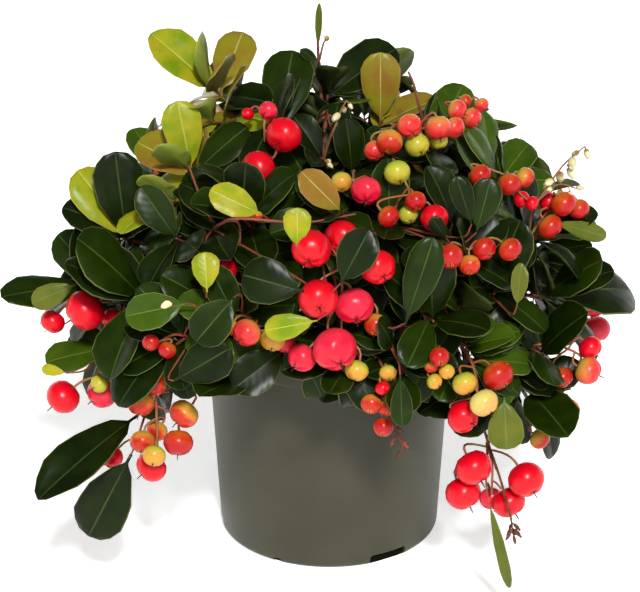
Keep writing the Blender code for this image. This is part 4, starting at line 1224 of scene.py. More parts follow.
    def set_leaf(self, root, along, light, length, arch, width, tint=None, clear=CLEARANCE):
        """Root a leaf in a twig where it clears everything, with its face turned to the light."""
        foot, face = root - along * LEAF_ROOT_DEPTH, square_to(along, light)
        leaf = LeafPlace(foot, along, face, length, arch, width)
        grown_leaf = leaf_solid(leaf, clear)
        beyond_twig = leaf_solid(leaf, clear, LEAF_OWN_SHARE)
        if room.touches(grown_leaf, self.spray.name) or room.touches(beyond_twig):
            return False
        room.add(leaf_solid(leaf), self.spray.name)
        self.leaves.append((leaf, tint or self.spray.tint))
        return True

    def set_own_leaf(self, own, index):
        """Set a leaf near the tip of the spray's stem, so that it reaches its own place."""
        # The leaf starts above its place's line by half its arch, and so ends on it
        along = heading(own.bearing, own.rise + OWN_LEAF_ARCH / 2)
        for shrink, step in product(OWN_LEAF_SHRINKS, range(index, index + 4)):
            root, _ = self.twigs[0].at(OWN_LEAF_STEPS[step % len(OWN_LEAF_STEPS)])
            length = own.length * MM * shrink
            if self.set_leaf(root, along, OWN_LEAF_LIGHT, length, OWN_LEAF_ARCH, own.width, own.tint):
                return

    def set_next_leaf(self, twig, index):
        """Set one leaf of the spiral that turns down a twig from its tip."""
        size = LEAF_SIZES[index % len(LEAF_SIZES)] * self.length * self.draw.uniform(0.92, 1.1)
        lift = LEAF_LIFTS[index % len(LEAF_LIFTS)] + self.draw.uniform(-8, 8)
        root, way = self.twigs[twig].at(LEAF_FIRST + index * LEAF_SPACING)
        turn = self.spray.turn + 70 * twig + GOLDEN_TURN * index
        for attempt, shift in enumerate(LEAF_SHIFTS):
            tilt = math.radians(lift + 5 * (attempt % 3 - 1))
            out = across(way, turn + shift)
            along = (way * math.cos(tilt) + out * math.sin(tilt) + UP * LEAF_UPTURN).normalized()
            light = UP * 0.8 + Vector((root.x, root.y, 0)).normalized() * 0.5 + self.axis * 0.3
            shrink = 1 if attempt < 5 else 0.85
            if self.set_leaf(root, along, light, size * shrink, LEAF_ARCH, LEAF_WIDTH_SHARE):
                return

    def nearest_limb(self, place):
        """The point nearest to a place on the spray's twigs, off their tips."""
        spots = (limb.at(0.12 * step * limb.length)[0] for limb in self.twigs for step in range(1, 7))
        return min(spots, key=lambda spot: (spot - place).length)

    def reach_out(self, foot, tip, tint, width):
        """Grow a side twig to a leaf's foot, with the leaf from there to its own tip."""
        line = tip - foot
        lift = math.radians(OWN_LEAF_ARCH / 2)
        face = square_to(line.normalized(), FORWARD)
        along = line.normalized() * math.cos(lift) + face * math.sin(lift)
        for push in REACH_PUSHES:
            root = foot + FORWARD * push * MM
            if self.set_leaf(root, along, FORWARD, line.length, OWN_LEAF_ARCH, width, tint, 0):
                start = self.nearest_limb(root)
                run = (root - start).length
                route = (start, start + self.axis * run * 0.3, root - along * run * 0.35, root)
                self.shoots.append(Limb(along_curve(route, 4), TWIG_TIP_RADIUS, TWIG_TIP_RADIUS * 0.7))
                return

    def fill_in(self, twig, distance, index):
        """Set a smaller leaf further down a twig, no further out than the spray's own leaves."""
        root, way = self.twigs[twig].at(distance)
        turn = self.spray.turn + 31 + GOLDEN_TURN * index + 97 * twig
        light = UP * 0.8 + Vector((root.x, root.y, 0)).normalized() * 0.5
        for attempt, shrink in enumerate(FILL_SHRINKS):
            out = across(way, turn + 47 * attempt)
            along = (way * 0.35 + out + UP * 0.25).normalized()
            length = self.length * shrink
            if (root + along * length - CROWN_MIDDLE).length > self.reach:
                continue
            if self.set_leaf(root, along, light, length, LEAF_ARCH, LEAF_WIDTH_SHARE, None, FILL_CLEARANCE):
                return


def back_sprays():
    """The rings of sprays round the back, with every other one a little nearer the axis."""
    for ring, (height, reach, count, first, last, rise) in enumerate(BACK_RINGS):
        for index in range(count):
            bearing = first + (last - first) * index / (count - 1)
            out = heading(bearing, 0) * (reach - 6 * (index % 2))
            place = (out.x, out.y, height + 7 * (index % 2))
            number = ring * len(BACK_FRUITS) + index
            tint = "mid" if number % 4 == 1 else "dark"
            yield Spray(
                f"back_{ring + 1}_{index + 1}", place, bearing, rise, BACK_LEAVES, BACK_LEAF_LENGTH,
                tint, 50 * number,
            )


def back_clusters(sprays):
    """The fruit of the sprays round the back, under the heart of every other one."""
    for number, spray in enumerate(sprays):
        count = BACK_FRUITS[number % len(BACK_FRUITS)]
        if count:
            ripeness = ("ripe", "blushing", "turning")[number % 3]
            place = tuple(Vector(spray.place) + heading(spray.bearing, -30) * BACK_FRUIT_REACH)
            yield Cluster(
                spray.name, place, spray.bearing, -60, count, BACK_FRUIT_SIZE, ripeness, 40 * number,
            )


def shape_of(mesh):
    """A mesh as vertices and faces."""
    return [vertex.co.copy() for vertex in mesh.vertices], [tuple(face.vertices) for face in mesh.polygons]


for name in ("pot", "potting_mix"):
    room.add(shape_of(frame["nodes"][name].data), name)
stems = [Stem(number, *sizes) for number, sizes in enumerate(STEMS, start=1)]
back = list(back_sprays())
sprays = FRONT_SPRAYS + back
growths = {spray.name: Growth(spray) for spray in sprays}
for growth in growths.values():
    growth.branch_off(stems)
for growth in growths.values():
    if growth.spray.leaves > 2:
        growth.fork()
own_counts = Counter()
for own in OWN_LEAVES:
    growths[own.spray].set_own_leaf(own, own_counts[own.spray])
    own_counts[own.spray] += 1
for name, rows in OWN_FRUIT.items():
    growths[name].set_own_fruit([OwnFruit(*row) for row in rows])
for cluster in back_clusters(back):
    growths[cluster.spray].set_fruit(cluster)
for index in range(max(spray.leaves for spray in sprays)):
    for name, growth in growths.items():
        if index < growth.spray.leaves - own_counts[name]:
            growth.set_next_leaf(0, index)
        if index < SIDE_TWIG_LEAVES and len(growth.twigs) > 1:
            growth.set_next_leaf(1, index)

# Leaves at the front on side twigs of their own: spray, foot and tip in millimetres, tint, width
FRONT_LEAVES = [
    ("front_left_low", (-17.2, -88, 115.3), (-36.2, -98, 103.6), "dark", 0.66),
    ("middle_low", (-8.4, -82, 105.8), (-3.1, -78, 91.3), "deep", 0.75),
    ("front_middle", (3.5, -112, 151.3), (13.7, -108, 170.5), "dark", 0.66),
    ("left_inner", (-9.5, -104, 145), (-32, -100, 150), "dark", 0.74),
    ("front_left", (-35, -100, 141), (-49, -104, 125), "deep", 0.72),
    ("left_front", (-52, -98, 138), (-75, -96, 132), "mid", 0.58),
    ("front_left", (-57, -96, 107), (-36, -98, 121), "dark", 0.66),
    ("front_middle", (27, -100, 131), (37, -96, 163), "dark", 0.4),
    ("front_middle", (-5, -112, 137), (-24, -112, 133), "lime", 0.5),
    ("right_inner", (53, -84, 160), (58, -80, 180), "deep", 0.55),
    ("top_twig", (-4.7, 6, 205), (-4.2, 6, 223), "olive", 0.16),
    ("top_twig", (-5, 4, 200), (-12, 2, 205), "deep", 0.5),
    ("front_middle", (4, -84, 168), (-11, -82, 183), "bronze", 0.55),
    ("middle_left", (-25, -84, 167), (-44, -82, 176), "lime", 0.55),
    ("front_middle", (-12, -102, 161), (-12, -98, 175), "lime", 0.7),
    ("front_right_low", (25, -102, 112), (26, -104, 92), "deep", 0.42),
    ("right_inner", (51, -86, 164), (45, -84, 182), "dark", 0.45),
    ("right_hanging", (65, -84, 94.4), (66, -90, 75.3), "olive", 0.7),
    ("right_hanging", (59.6, -92, 56.2), (69.8, -84, 12.5), "olive", 0.1),
    ("left_hanging", (-75.9, -80, 68.4), (-94.1, -76, 31), "dark", 0.5),
    ("far_left", (-97.3, -52, 127.3), (-114.6, -54, 119.9), "olive", 0.5),
    ("left_low", (-101, -66, 96.3), (-110.7, -64, 97.5), "lime", 0.45),
    ("left_inner", (-44.7, -98, 142.4), (-45.4, -92, 155.9), "lime", 0.7),
    ("right_upper", (85, -46, 150.4), (106.3, -40, 142.1), "olive", 0.3),
    ("right_core", (68.7, -84, 131.2), (70, -80, 147.1), "olive", 0.4),
    ("right_front", (42, -84, 157.9), (36.4, -84, 166.1), "dark", 0.6),
]
for name, foot, tip, tint, width in FRONT_LEAVES:
    growths[name].reach_out(Vector(foot) * MM, Vector(tip) * MM, tint, width)

# Finer growth: more side twigs down every spray's stem, and smaller leaves on all of them
FINE_FORKS = (1, 2, 3)
FINE_FIRST = 2 * MM
FINE_SPACING = 3.4 * MM
FILL_STEPS = 24
# Smaller leaves stop at this share of a twig's length
FILL_SHARE = 0.9
FILL_CLEARANCE = 0.12 * MM
CROWN_MIDDLE = Vector((0, 0, 120)) * MM
for growth in growths.values():
    corners = [corner for leaf, _ in growth.leaves for corner in leaf_solid(leaf)[0]]
    growth.reach = max((corner - CROWN_MIDDLE).length for corner in corners)
leafy = [growth for growth in growths.values() if growth.spray.leaves > 2]
for step in FINE_FORKS:
    for growth in leafy:
        growth.fork(step)
for index in range(FILL_STEPS):
    distance = FINE_FIRST + FINE_SPACING * index
    for growth in leafy:
        for twig, limb in enumerate(growth.twigs):
            if distance < limb.length * FILL_SHARE:
                growth.fill_in(twig, distance, index)
spray_nodes = [spray.name for spray in sprays]


# Stems: woody stems of a few years' growth, cut level with the mix at the foot, with thin
# cracked bark that flakes a little.
BARK = (0.12, 0.052, 0.028)
BARK_GREY = (0.2, 0.12, 0.08)
STEM_FINE_SIDES = 12
STEM_FINE_STEPS = 40
BARK_RELIEF = 0.28 * MM


def skin_tree():
    """A tree that gives lines of points a round skin with a rough bark."""
    kinds = {"Lines": "Geometry", "Sides": "Int", "Grain": "Float", "Relief": "Float", "Finish": "Material"}
    tree, given = new_tree("skin", kinds)
    lines = node(tree, "GeometryNodeMeshToCurve", {"Mesh": given["Lines"]})
    ring = node(tree, "GeometryNodeCurvePrimitiveCircle", {"Radius": 1, "Resolution": given["Sides"]})
    thick = own_value(tree, "thick", "FLOAT")
    skin = {"Curve": lines, "Profile Curve": ring, "Scale": thick, "Fill Caps": True}
    skin = node(tree, "GeometryNodeCurveToMesh", skin)
    place = node(tree, "GeometryNodeInputPosition", {})
    grains = node(tree, "ShaderNodeTexNoise", {"Vector": place, "Scale": given["Grain"]})
    centred = node(tree, "ShaderNodeMath", {0: grains, 1: 0.5}, operation="SUBTRACT")
    depth = node(tree, "ShaderNodeMath", {0: centred, 1: given["Relief"]}, operation="MULTIPLY")
    normal = node(tree, "GeometryNodeInputNormal", {})
    push = node(tree, "ShaderNodeVectorMath", {"Vector": normal, "Scale": depth}, operation="SCALE")
    rough = node(tree, "GeometryNodeSetPosition", {"Geometry": skin, "Offset": push})
    soft = node(tree, "GeometryNodeSetShadeSmooth", {"Geometry": rough})
    real = node(tree, "GeometryNodeRealizeInstances", {"Geometry": soft})
    coat = node(tree, "GeometryNodeSetMaterial", {"Geometry": real, "Material": given["Finish"]})
    node(tree, "NodeGroupOutput", {"Geometry": coat})
    return tree


LIMB_SKIN = skin_tree()


def skinned(name, limbs, sides, grain, rough, coat):
    """One piece of round limbs, each given as its points and their radii."""
    vertices, edges, radii = [], [], []
    for points, limb_radii in limbs:
        first = len(vertices)
        vertices += points
        radii += limb_radii
        edges += [(first + step, first + step + 1) for step in range(len(points) - 1)]
    lines = bpy.data.meshes.new(name)
    lines.from_pydata(vertices, edges, [])
    carry(lines, "thick", "FLOAT", "POINT", radii)
    values = {"Sides": sides, "Grain": 1 / grain, "Relief": rough, "Finish": coat}
    return grown(name, lines, LIMB_SKIN, values)


bark = finish("stem_bark", BARK, 0.8, 0.25, (BARK, BARK_GREY, 2.2 * MM), grains=(0.5 * MM, 0.2 * MM, 0.7))
stem_limbs = [stem.line(STEM_FINE_STEPS) for stem in stems]
wood = skinned("stem_wood", stem_limbs, STEM_FINE_SIDES, 1.6 * MM, BARK_RELIEF, bark)
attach(wood, "root")
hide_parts(*[stem.name for stem in stems])


# Twigs: this year's shoots, thin and springy, reddish brown and a little glossy, each rooted in
# an older stem, with finer side twigs out of it.
TWIG_BROWN = (0.13, 0.038, 0.02)
TWIG_RED = (0.24, 0.05, 0.03)
TWIG_FINE_SIDES = 6
# A twig's thickness by its limb's: a spray's first two twigs, the rest, and less again at the tip
TWIG_SLIMS = (0.92, 0.75)
TWIG_TIP_SLIM = 0.8
BARE_TWIG_RADII = (0.75 * MM, 0.42 * MM)
# Twigs that have lost their leaves: spray, foot and tip in millimetres, bow upwards
BARE_TWIGS = [
    ("top_right", (35, -20, 186), (30, -19, 202), 0.12),
    ("left_inner", (-33, -88, 167), (9, -86, 168), -0.06),
    ("upper_left", (-45, -66, 160), (-53, -52, 175), -0.05),
]


def tapering(count, first, last):
    """Radii that go evenly from the first to the last."""
    return [first + (last - first) * step / (count - 1) for step in range(count)]


twig_bark = finish(
    "twig_bark", TWIG_BROWN, 0.5, 0.35, (TWIG_BROWN, TWIG_RED, 9 * MM), grains=(0.8 * MM, 0.08 * MM),
)
twig_limbs = []
for growth in growths.values():
    for number, limb in enumerate(growth.twigs + growth.shoots):
        line = smoothed(limb.points)
        slim = TWIG_SLIMS[number > 1]
        last = limb.radii[-1] * slim * TWIG_TIP_SLIM
        twig_limbs.append((line, tapering(len(line), limb.radii[0] * slim, last)))
for name, foot, tip, bow in BARE_TWIGS:
    foot, tip = Vector(foot) * MM, Vector(tip) * MM
    start = growths[name].nearest_limb(foot)
    lead = start.lerp(foot, 0.5) + (foot - tip).normalized() * 2 * MM
    middle = foot.lerp(tip, 0.55) + UP * bow * (tip - foot).length
    line = smoothed([start, lead, foot, middle, tip])
    twig_limbs.append((line, tapering(len(line), *BARE_TWIG_RADII)))
twigs = skinned("twigs", twig_limbs, TWIG_FINE_SIDES, 2 * MM, 0.12 * MM, twig_bark)
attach(twigs, "root")
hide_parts(*spray_nodes)


# Stalks: thin red fruit stalks, and a curved footstalk from them to the top of every fruit.
STALK_RED = (0.3, 0.05, 0.025)
STALK_TAN = (0.3, 0.16, 0.05)
STALK_SIDES = 6
FOOTSTALK_STEPS = 6
FOOTSTALK_RADII = (0.42 * MM, 0.5 * MM)
# How much a fruit's own way is drawn downwards
FRUIT_HANG = 0.7
stalk_skin = finish("stalk_skin", STALK_RED, 0.45, 0.4, (STALK_RED, STALK_TAN, 6 * MM))
stalk_limbs, fruit_places = [], []
for growth in growths.values():
    for points, first, last in growth.stalks:
        line = smoothed(points)
        stalk_limbs.append((line, tapering(len(line), first * 0.8, last * 0.9)))
    for foot, centre, way, size, ripeness in growth.fruit:
        tip_way = (way - UP * FRUIT_HANG).normalized()
        top = centre - tip_way * size * FRUIT_HEIGHT_SHARE * 0.45
        bend = top - tip_way * (foot - top).length * 0.45
        line = along_curve((foot, foot.lerp(bend, 0.6), bend, top), FOOTSTALK_STEPS)
        stalk_limbs.append((line, tapering(len(line), *FOOTSTALK_RADII)))
        fruit_places.append((centre, tip_way, size, ripeness))
stalks = skinned("fruit_stalks", stalk_limbs, STALK_SIDES, 2 * MM, 0.06 * MM, stalk_skin)
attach(stalks, "root")
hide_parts(*spray_nodes)


# Leaves: leathery oval leaves on short stalks, glossy above and paler below, with a fine pale
# margin and midrib. The margin's pale colour is partly its own and partly a painted highlight
# where light catches the edge. The old ones are dark, and the newest are lime with bronze tints.
LEAF_STALK = 0.09
LEAF_STEPS = 9
LEAF_STRIPS = (-1, -0.955, -0.5, -0.035, 0.035, 0.5, 0.955, 1)
# Each form of leaf: how it widens and narrows, its arch, fold, margin's curl, twist, margin's wave
LEAF_FORMS = (
    (0.74, 0.46, LEAF_ARCH, 0.26, 0.18, 0, 0.05),
    (0.7, 0.54, LEAF_ARCH, 0.12, 0.26, 12, 0.09),
    (0.86, 0.6, LEAF_ARCH, 0.5, 0.14, -12, 0.07),
    (0.8, 0.44, OWN_LEAF_ARCH, 0.2, 0.22, 0, 0.06),
    (0.76, 0.54, OWN_LEAF_ARCH, 0.38, 0.14, 8, 0.09),
)
# How far the teeth of the margin stand in and out, by the half-width
LEAF_TOOTH = 0.02
ARCHED_FORMS = sum(form[2] == LEAF_ARCH for form in LEAF_FORMS)
UPPER, MIDRIB, MARGIN, UNDER = range(4)
VEIN_SCALE = 2.4
VEIN_DEPTH = 0.25 * MM
# The chances that a leaf is dealt another tint: dark and mid go to deep, and by the rule alone
# some more of the dark go to mid, and lime to bronze
DEEP_CHANCE = 0.3
MID_CHANCE = 0.36
BRONZE_CHANCE = 0.35
# Each tint: upper face and the tone its patches go to, then midrib, margin and lower face. The
# margin's pale colour is partly the leaf's own and partly a painted highlight along the edge
LEAF_TINTS = {
    "dark": (
        (0.0037, 0.009, 0.0006), (0.0076, 0.0158, 0.0009),
        (0.03, 0.046, 0.007), (0.085, 0.095, 0.022), (0.035, 0.05, 0.008),
    ),
    "deep": (
        (0.0071, 0.0172, 0.0008), (0.0132, 0.0275, 0.0012),
        (0.04, 0.068, 0.008), (0.11, 0.125, 0.028), (0.045, 0.065, 0.01),
    ),
    "mid": (
        (0.025, 0.055, 0.0026), (0.044, 0.083, 0.0044),
        (0.09, 0.125, 0.015), (0.17, 0.19, 0.045), (0.08, 0.11, 0.018),
    ),
    "olive": (
        (0.075, 0.1, 0.008), (0.11, 0.12, 0.014),
        (0.12, 0.15, 0.03), (0.2, 0.2, 0.06), (0.12, 0.14, 0.03),
    ),
    "lime": (
        (0.15, 0.23, 0.004), (0.33, 0.3, 0.012),
        (0.36, 0.38, 0.06), (0.4, 0.28, 0.07), (0.2, 0.26, 0.04),
    ),
    "bronze": (
        (0.2, 0.19, 0.01), (0.22, 0.11, 0.016),
        (0.36, 0.3, 0.08), (0.38, 0.2, 0.06), (0.2, 0.2, 0.05),
    ),
}


def leaf_outline(widen, narrow):
    """The stations down a leaf, as shares of its length, each with its share of the full width."""
    widest = widen / (widen + narrow)
    full = widest ** widen * (1 - widest) ** narrow
    stations = [(0, 0.06)]
    for step in range(LEAF_STEPS + 1):
        share = (1 - math.cos(math.pi * step / LEAF_STEPS)) / 2
        width = share ** widen * (1 - share) ** narrow / full
        stations.append((LEAF_STALK + (1 - LEAF_STALK) * share, max(width, 0.06)))
    return stations


def leaf_shape(widen, narrow, arch, fold, curl, twist, wave):
    """A leaf a unit long from its root along X, with its upper face up."""
    outline = leaf_outline(widen, narrow)
    bend, turn = math.radians(arch), math.radians(twist)
    half = LEAF_WIDTH_SHARE / 2
    vertices, faces, parts = [], [], []
    for station, (share, width) in enumerate(outline):
        tooth = LEAF_TOOTH * (1 if station % 2 else -1) * (1 < station < len(outline) - 2)
        angle = bend * share
        spine = Vector((math.sin(angle) / bend, 0, -(1 - math.cos(angle)) / bend))
        lifted = Vector((math.sin(angle), 0, math.cos(angle)))
        roll = turn * share
        for strip in (*LEAF_STRIPS, 0):
            out = strip * half * (width + tooth * (abs(strip) > 0.9))
            ripple = wave * math.sin(11 * share + 4 * (strip > 0)) * strip ** 2
            rise = half * width * (fold * abs(strip) - curl * strip ** 4 + ripple)
            if strip == 0:
                rise = -max(0.011, half * width * 0.06)
            side = Vector((0, math.cos(roll), 0)) + lifted * math.sin(roll)
            vertices.append(spine + side * out + lifted * rise)
    row = len(LEAF_STRIPS) + 1
    last = len(LEAF_STRIPS) - 1
    for station in range(len(outline) - 1):
        near, far = station * row, (station + 1) * row
        for strip in range(last):
            faces.append((near + strip, far + strip, far + strip + 1, near + strip + 1))
            # The outermost strips take the margin colour, partly a painted highlight along the edge
            parts.append(MIDRIB if strip == 3 else MARGIN if strip in (0, last - 1) else UPPER)
        for strip, next_strip in ((last, last + 1), (last + 1, 0)):
            faces.append((near + strip, far + strip, far + next_strip, near + next_strip))
            parts.append(UNDER)
    faces += [tuple(range(row)), tuple(reversed(range(len(vertices) - row, len(vertices))))]
    parts += [UNDER, UNDER]
    mesh = shape_mesh("leaf", vertices, [tuple(reversed(face)) for face in faces], parts)
    slants = [(share, abs(strip)) for share, _ in outline for strip in (*LEAF_STRIPS, 0)]
    veins = [(share - 0.22 * out, 0.4 * out, 0) for share, out in slants]
    carry(mesh, "vein", "FLOAT_VECTOR", "POINT", veins)
    return mesh


def veined(coat):
    """Press the side veins into the blade, from the value that the leaf's shape carries."""
    place = node(coat.node_tree, "ShaderNodeAttribute", {}, attribute_name="vein").outputs["Vector"]
    look = {"Vector": place, "Scale": VEIN_SCALE, "Distortion": 1.4, "Detail": 2, "Detail Scale": 3}
    bands = node(coat.node_tree, "ShaderNodeTexWave", look)
    raised(coat, bands.outputs["Fac"], VEIN_DEPTH, 0.08)


leaf_shapes = [leaf_shape(*form) for form in LEAF_FORMS]
tinted = defaultdict(list)
tinted_sprays = defaultdict(set)
blade_trees = []
draw = random.Random("leaf tints")
for growth in growths.values():
    for leaf, tint in growth.leaves:
        chance = draw.random()
        by_rule = leaf.arch == LEAF_ARCH
        if tint in ("dark", "mid") and chance < DEEP_CHANCE:
            tint = "deep"
        elif tint == "dark" and by_rule and chance < MID_CHANCE:
            tint = "mid"
        elif tint == "lime" and by_rule and chance < BRONZE_CHANCE:
            tint = "bronze"
        side = leaf.face.cross(leaf.along)
        turn = Matrix((leaf.along, side, leaf.face)).transposed().to_quaternion()
        form = draw.randrange(ARCHED_FORMS)
        if not by_rule:
            form = draw.randrange(ARCHED_FORMS, len(LEAF_FORMS))
        width = leaf.length * leaf.width / LEAF_WIDTH_SHARE
        tinted[tint].append((form, leaf.root, turn, (leaf.length, width, leaf.length)))
        tinted_sprays[tint].add(growth.spray.name)
for tint, (upper, upper_patch, midrib, margin_glint_colour, under) in LEAF_TINTS.items():
    blade = finish(f"leaf_{tint}", upper, 0.3, 0.12, (upper, upper_patch, 9 * MM))
    veined(blade)
    coats = {"Upper": blade}
    # The margin's pale colour is partly a painted highlight where light catches the edge
    for part, colour in (("Midrib", midrib), ("Margin", margin_glint_colour), ("Under", under)):
        coats[part] = finish(
            f"leaf_{part.lower()}_{tint}", colour, 0.5, 0.2, (colour, upper_patch, 5 * MM, 0.5, 0.95),
        )
    piece = set_copies(f"leaves_{tint}", leaf_shapes, tinted[tint], coats)
    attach(piece, "root")
    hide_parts(*sorted(tinted_sprays[tint]))
    blade_trees.append(BVHTree.FromPolygons(*shape_of(piece.data)))


# Scars: dry pale patches in a few blades at the front, with a browned rim where the leaf healed.
# Each: a place near it in millimetres, and its length
SCARS = [((-59.5, -98, 137.5), 5.2 * MM), ((-11, -112, 141), 1.8 * MM)]
SCAR_WIDTH_SHARE = 0.66
SCAR_LIFT = 0.12 * MM
SCAR_FRONT = Vector((0, -0.93, 0.37))
SCAR_SIDES = 14
SCAR_SPIN = 0.4


def scar_shape():
    """A flat ragged patch one unit long, facing up, with its rim apart."""
    draw = random.Random("scar")
    vertices, faces, parts = [], [], []
    ragged = [draw.uniform(0.82, 1.1) for _ in range(SCAR_SIDES)]
    for share in (1, 0.84):
        for side, reach in enumerate(ragged):
            clock = 2 * math.pi * side / SCAR_SIDES
            edge = Vector((math.cos(clock), SCAR_WIDTH_SHARE * math.sin(clock), 0))
            vertices.append(edge * reach * share / 2)
    for side in range(SCAR_SIDES):
        after = (side + 1) % SCAR_SIDES
        faces.append((side, after, SCAR_SIDES + after, SCAR_SIDES + side))
        parts.append(1)
    faces.append(tuple(range(SCAR_SIDES, 2 * SCAR_SIDES)))
    parts.append(0)
    return shape_mesh("scar", vertices, faces, parts)


dry_blade = finish(
    "scar_dry", (0.62, 0.52, 0.3), 0.7, 0.2, ((0.66, 0.58, 0.36), (0.42, 0.26, 0.1), 1.4 * MM, 0.5, 0.75),
)
scar_rim = finish(
    "scar_rim", (0.16, 0.07, 0.02), 0.7, 0.2, ((0.2, 0.09, 0.025), (0.1, 0.04, 0.015), 0.8 * MM),
)
scar_places = []
for place, size in SCARS:
    before = (Vector(place) + SCAR_FRONT * 100) * MM
    hits = [tree.ray_cast(before, -SCAR_FRONT) for tree in blade_trees]
    point, out, _, _ = min((hit for hit in hits if hit[0]), key=lambda hit: hit[3])
    out *= 1 if out.dot(SCAR_FRONT) > 0 else -1
    scar_places.append((0, point + out * SCAR_LIFT, turn_to(out, SCAR_SPIN), (size, size, size)))
scars = set_copies("leaf_scars", [scar_shape()], scar_places, {"Dry": dry_blade, "Rim": scar_rim})
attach(scars, "root")
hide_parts(*spray_nodes)


# Fruit: round firm berries with a soft shine, five faint lobes at the tip around a small star,
# and the dark dried hair of the flower's style. The star's colour also lies along the creases by
# the tip; where it is darker than the skin it is partly the star's own tone and partly painted
# shade in the creases. They ripen from yellow to red, first on the cheek around the tip, then at
# the waist, and last on the shoulder by the stalk.
FRUIT_SIDES = 20
# The rings of the fruit from its tip, in degrees
FRUIT_RINGS = (7, 17, 31, 48, 65, 82, 99, 121, 143, 164)
# Where down the fruit, from tip to stalk, its three colours are full, and how far patches stray
RIPE_SHARES = (0.3, 0.6, 0.95)
RIPE_STRAY = 0.5
PATCH_SIZE = 3.2 * MM
# How deep the lobes are cut in each form of fruit
FRUIT_CREASES = (0.1, 0.3, 0.55)
STYLE_LENGTH = 0.15
# Each ripeness of a whole cluster: the chance of each colour
RIPENESS = {
    "ripe": (("red", 0.75), ("pink", 1.0)),
    "blushing": (("rose", 0.78), ("orange", 0.92), ("yellow", 1.0)),
    "turning": (("scarlet", 0.65), ("orange", 1.0)),
}
# Each colour: cheek, waist, shoulder, and the star at the tip, which also lies along the creases
# and, where darker than the skin, is partly painted shade
FRUIT_COLOURS = {
    "red": ((0.6, 0.001, 0.008), (0.64, 0.001, 0.012), (0.58, 0.002, 0.01), (0.24, 0.003, 0.006)),
    "pink": ((0.62, 0.008, 0.03), (0.67, 0.026, 0.054), (0.66, 0.042, 0.056), (0.3, 0.005, 0.016)),
    "scarlet": ((0.4, 0.005, 0.005), (0.47, 0.03, 0.006), (0.46, 0.15, 0.015), (0.5, 0.24, 0.04)),
    "rose": ((0.62, 0.025, 0.025), (0.66, 0.12, 0.045), (0.46, 0.34, 0.035), (0.42, 0.05, 0.02)),
    "orange": ((0.47, 0.02, 0.006), (0.56, 0.2, 0.028), (0.42, 0.35, 0.03), (0.56, 0.34, 0.055)),
    "yellow": ((0.56, 0.26, 0.03), (0.5, 0.4, 0.04), (0.34, 0.4, 0.04), (0.42, 0.2, 0.03)),
    "green": ((0.44, 0.38, 0.03), (0.36, 0.42, 0.035), (0.27, 0.36, 0.03), (0.3, 0.16, 0.03)),
    "pale": ((0.62, 0.33, 0.08), (0.62, 0.52, 0.12), (0.6, 0.54, 0.16), (0.42, 0.25, 0.05)),
}
SKIN, STAR, HAIR = range(3)


def fruit_shape(cut):
    """A fruit one unit across with its tip up, its star of lobes and its style."""
    vertices, faces, parts = [], [], []
    for degrees in FRUIT_RINGS:
        polar = math.radians(degrees)
        tip_share, foot_share = max(0, math.cos(polar)), max(0, -math.cos(polar))
        for side in range(FRUIT_SIDES):
            clock = 2 * math.pi * side / FRUIT_SIDES
            crease = max(0, math.cos(5 * clock)) * tip_share ** 2
            reach = math.sin(polar) * (1 - cut * crease)
            height = math.cos(polar) * FRUIT_HEIGHT_SHARE * (1 - 0.45 * cut * crease)
            height += 0.12 * (foot_share ** 12 - tip_share ** 24)
            vertices.append(Vector((reach * math.cos(clock), reach * math.sin(clock), height)) / 2)
    tip, foot = len(vertices), len(vertices) + 1
    vertices += [UP * (FRUIT_HEIGHT_SHARE - 0.16) / 2, -UP * (FRUIT_HEIGHT_SHARE - 0.14) / 2]
    for side in range(FRUIT_SIDES):
        after = (side + 1) % FRUIT_SIDES
        faces.append((side, after, tip))
        parts.append(STAR)
        for ring in range(len(FRUIT_RINGS) - 1):
            near, far = ring * FRUIT_SIDES, (ring + 1) * FRUIT_SIDES
            faces.append((near + after, near + side, far + side, far + after))
            # Faces beside the creases next to the tip take the star colour: partly painted shade in the
            # creases
            parts.append(STAR if ring == 0 and side % 4 in (0, 3) else SKIN)
        low = (len(FRUIT_RINGS) - 1) * FRUIT_SIDES
        faces.append((low + after, low + side, foot))
        parts.append(SKIN)
    base = len(vertices)
    style = ((FRUIT_HEIGHT_SHARE - 0.16, 0.05), (FRUIT_HEIGHT_SHARE + 2 * STYLE_LENGTH, 0.025))
    for height, radius in style:
        for side in range(4):
            clock = math.pi * side / 2
            vertices.append(Vector((math.cos(clock) * radius, math.sin(clock) * radius, height)) / 2)
    for side in range(4):
        after = (side + 1) % 4
        faces.append((base + side, base + after, base + 4 + after, base + 4 + side))
        parts.append(HAIR)
    faces.append((base + 4, base + 5, base + 6, base + 7))
    parts.append(HAIR)
    mesh = shape_mesh("fruit", vertices, faces, parts)
    down = [min(max(0.5 - vertex.z / FRUIT_HEIGHT_SHARE, 0), 1) for vertex in vertices]
    carry(mesh, "down", "FLOAT", "POINT", down)
    return mesh


def ripened(coat, colours):
    """Let the skin go from colour to colour down the fruit, with patches that stray."""
    tree = coat.node_tree
    down = node(tree, "ShaderNodeAttribute", {}, attribute_name="down").outputs["Fac"]
    patches = {0: pattern(coat, PATCH_SIZE), 1: RIPE_STRAY, 2: down}
    stray = node(tree, "ShaderNodeMath", patches, operation="MULTIPLY_ADD")
    shifted = node(tree, "ShaderNodeMath", {0: stray, 1: RIPE_STRAY / 2}, operation="SUBTRACT")
    ramped(coat, shifted, list(zip(RIPE_SHARES, colours)))


